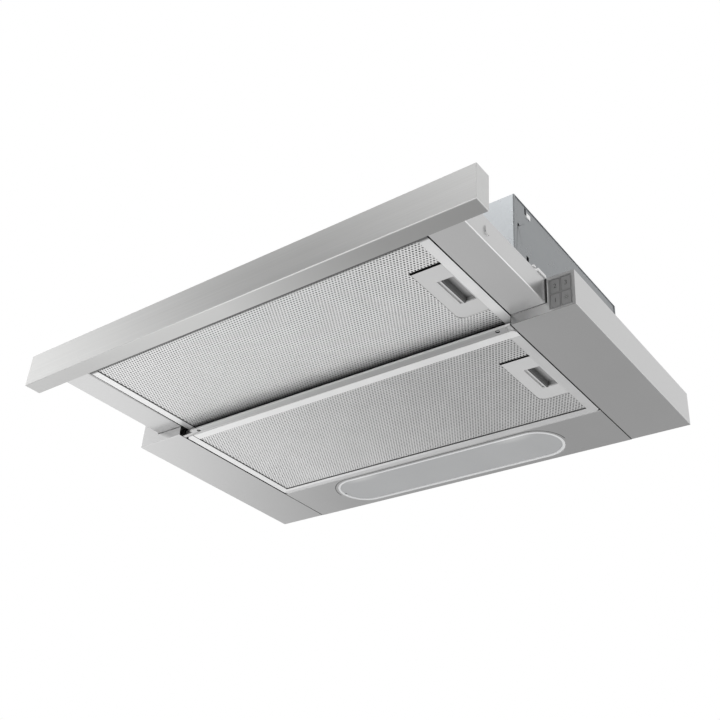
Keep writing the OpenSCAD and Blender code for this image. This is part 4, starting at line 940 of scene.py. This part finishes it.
class HOOD_OT_filters(bpy.types.Operator):
    """Dresses both grease filters and adds their perforated face sheets"""

    bl_idname = "hood.filters"
    bl_label = "Filters"

    def execute(self, context):
        for place, body in (("fixed", "fixed_filter"), ("drawer", "drawer")):
            dress((place + "_filter_frame", place + "_latch_plate", place + "_latch"), 0.25)
            dress((place + "_filter_mesh",))
            face_sheet(context, place + "_face_sheet", body, place + "_filter_frame",
                       place + "_latch_plate")
        return {"FINISHED"}


class HOOD_OT_lamp(bpy.types.Operator):
    """Dresses the lamp lens, its box, holders and lamps"""

    bl_idname = "hood.lamp"
    bl_label = "Lamp"

    def execute(self, context):
        dress(("lamp_lens", "lamp_reflector", "lamp_holders"), 0.25)
        dress(("lamp_bulbs",))
        for face in NODES["lamp_bulbs"].data.polygons:
            face.use_smooth = True
        return {"FINISHED"}


class HOOD_OT_runners(bpy.types.Operator):
    """Dresses the ball runners and the angles that they hang from"""

    bl_idname = "hood.runners"
    bl_label = "Runners"

    def execute(self, context):
        dress(("runner_fixed_left", "runner_fixed_right", "runner_moving_left",
               "runner_moving_right", "runner_hangers", "ball_cage_left", "ball_cage_right"))
        return {"FINISHED"}


class HOOD_OT_controls(bpy.types.Operator):
    """Dresses the buttons and adds the marks on them"""

    bl_idname = "hood.controls"
    bl_label = "Controls"

    def execute(self, context):
        dress(("control_bezel", "button_one", "button_two", "button_three", "button_light"), 0.3)
        dress(("switch_block", "drawer_switch", "switch_plunger"), 0.2)
        printed_mark(context, "mark_one", "button_one", "button_one", "1")
        printed_mark(context, "mark_two", "button_two", "button_two", "2")
        printed_mark(context, "mark_three", "button_three", "button_three", "3")
        printed_mark(context, "mark_lamp", "button_light", "button_light")
        return {"FINISHED"}


class HOOD_OT_outlet(bpy.types.Operator):
    """Dresses the duct collar, its flaps and pin"""

    bl_idname = "hood.outlet"
    bl_label = "Outlet"

    def execute(self, context):
        dress(("outlet_collar", "flap_front", "flap_rear"), 0.3)
        dress(("flap_pin",))
        return {"FINISHED"}


class HOOD_OT_electrics(bpy.types.Operator):
    """Dresses the terminal box, gland and capacitor"""

    bl_idname = "hood.electrics"
    bl_label = "Electrics"

    def execute(self, context):
        dress(("terminal_box", "terminal_lid", "cable_gland", "capacitor"), 0.4)
        return {"FINISHED"}


def floor_finish(colours):
    """Pale matt floor with a faint mottle; the room's own light comes up through it."""
    f = Finish("floor")
    mottle = f.noise(1.3, 4.0)
    pale = f.node("ShaderNodeBsdfPrincipled", None, {
        "Base Color": f.shades(colours.floor, 0.02, mottle), "Roughness": 0.8})
    clear = f.node("ShaderNodeBsdfTransparent")
    seen = f.node("ShaderNodeLightPath", output="Is Camera Ray")
    mixed = f.node("ShaderNodeMixShader", None, {0: seen, 1: clear, 2: pale})
    f.node("ShaderNodeOutputMaterial", None, {"Surface": mixed})
    return f.material


def soft_lamp(context, name, place, size, power):
    """One large square lamp pointed at the hood."""
    clear_selection()
    bpy.ops.object.light_add(type="AREA", location=place)
    lamp = context.object
    lamp.name = name
    lamp.data.size = size
    lamp.data.energy = power
    lamp.visible_camera = False
    lamp.rotation_euler = (-Vector(place)).to_track_quat("-Z", "Y").to_euler()


def photo_camera(context):
    """The camera, at the photograph's viewing angle."""
    clear_selection()
    bpy.ops.object.camera_add()
    camera = context.object
    camera.name = "camera"
    turn = Matrix((CAMERA_RIGHT, -CAMERA_DOWN, -CAMERA_AHEAD)).transposed().to_4x4()
    camera.matrix_world = Matrix.Translation(CAMERA_PLACE) @ turn
    camera.data.sensor_width = SENSOR_MM
    camera.data.lens = LENS_MM
    context.scene.camera = camera


def bearing(turn, rise):
    """Direction at so many degrees from the front towards the left, and above the horizon."""
    turn, rise = math.radians(turn), math.radians(rise)
    return (-math.sin(turn) * math.cos(rise), -math.cos(turn) * math.cos(rise), math.sin(rise))


def pale_room(context):
    """White behind the hood; to every other ray a soft room of round light and dark panels."""
    world = bpy.data.worlds.new("pale_room")
    context.scene.world = world
    world.use_nodes = True
    room = NodeTree(world.node_tree)
    way = room.node("ShaderNodeTexCoord", output="Generated")
    level = 0.0
    for turn, rise, reach, blur, strength in PANELS:
        near = room.node("ShaderNodeVectorMath", {"operation": "DOT_PRODUCT"},
                         (way, bearing(turn, rise)), "Value")
        level = level + room.node("ShaderNodeMapRange", {"interpolation_type": "SMOOTHSTEP"}, {
            "Value": near, "From Min": math.cos(math.radians(reach + blur)),
            "From Max": math.cos(math.radians(max(0.0, reach - blur))),
            "To Min": 0.0, "To Max": strength}, "Result")
    level = (level + ROOM_LEVEL).math("MAXIMUM", 0.02)
    seen = room.node("ShaderNodeLightPath", output="Is Camera Ray").math(
        "MAXIMUM", room.node("ShaderNodeLightPath", output="Is Transmission Ray"))
    sky = room.node("ShaderNodeBackground", None, {
        "Color": (1.0, 1.0, 1.0, 1.0), "Strength": level + (1.0 - level) * seen})
    room.node("ShaderNodeOutputWorld", None, {"Surface": sky})


class HOOD_OT_stage(bpy.types.Operator):
    """Sets the floor, the soft lamps, the pale world and the camera"""

    bl_idname = "hood.stage"
    bl_label = "Stage"

    def execute(self, context):
        sizes = context.scene.hood_sizes
        clear_selection()
        bpy.ops.mesh.primitive_plane_add(size=sizes.floor_size,
                                         location=(0, 0, -sizes.floor_drop))
        floor = context.object
        floor.name = "floor"
        bpy.ops.object.mode_set(mode="EDIT")
        bpy.ops.mesh.select_all(action="SELECT")
        bpy.ops.mesh.inset(thickness=sizes.floor_size * 0.04, depth=-sizes.floor_size * 0.01)
        bpy.ops.object.mode_set(mode="OBJECT")
        bpy.ops.object.transform_apply(location=True, rotation=True, scale=True)
        floor.data.materials.append(floor_finish(context.scene.hood_colours))
        for name, place, size, power in LAMPS:
            soft_lamp(context, name, place, size, power)
        pale_room(context)
        photo_camera(context)
        context.scene.view_settings.view_transform = "Standard"
        return {"FINISHED"}


class HOOD_PT_build(bpy.types.Panel):
    """Lists the steps of the hood"""

    bl_idname = "HOOD_PT_build"
    bl_label = "Range hood"
    bl_space_type = "VIEW_3D"
    bl_region_type = "UI"
    bl_category = "Hood"

    def draw(self, context):
        for group in (context.scene.hood_sizes, context.scene.hood_colours):
            box = self.layout.box()
            for key in group.__annotations__:
                box.prop(group, key)
        for step in STEPS:
            self.layout.operator(step.bl_idname)


STEPS = (HOOD_OT_finishes, HOOD_OT_tray, HOOD_OT_box, HOOD_OT_blower, HOOD_OT_fascia,
         HOOD_OT_drawer, HOOD_OT_filters, HOOD_OT_lamp, HOOD_OT_runners, HOOD_OT_controls,
         HOOD_OT_outlet, HOOD_OT_electrics, HOOD_OT_stage)
CLASSES = (HoodSizes, HoodColours) + STEPS + (HOOD_PT_build,)


def register():
    """Registers the classes and hangs both groups on the scene."""
    for kind in CLASSES:
        bpy.utils.register_class(kind)
    bpy.types.Scene.hood_sizes = PointerProperty(type=HoodSizes)
    bpy.types.Scene.hood_colours = PointerProperty(type=HoodColours)


def unregister():
    """Takes back what register did."""
    del bpy.types.Scene.hood_colours
    del bpy.types.Scene.hood_sizes
    for kind in reversed(CLASSES):
        bpy.utils.unregister_class(kind)


def main():
    """Builds the hood step by step."""
    register()
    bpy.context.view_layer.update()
    bpy.ops.hood.finishes()
    bpy.ops.hood.tray()
    bpy.ops.hood.box()
    bpy.ops.hood.blower()
    bpy.ops.hood.fascia()
    bpy.ops.hood.drawer()
    bpy.ops.hood.filters()
    bpy.ops.hood.lamp()
    bpy.ops.hood.runners()
    bpy.ops.hood.controls()
    bpy.ops.hood.outlet()
    bpy.ops.hood.electrics()
    bpy.ops.hood.stage()


if __name__ == "__main__":
    main()
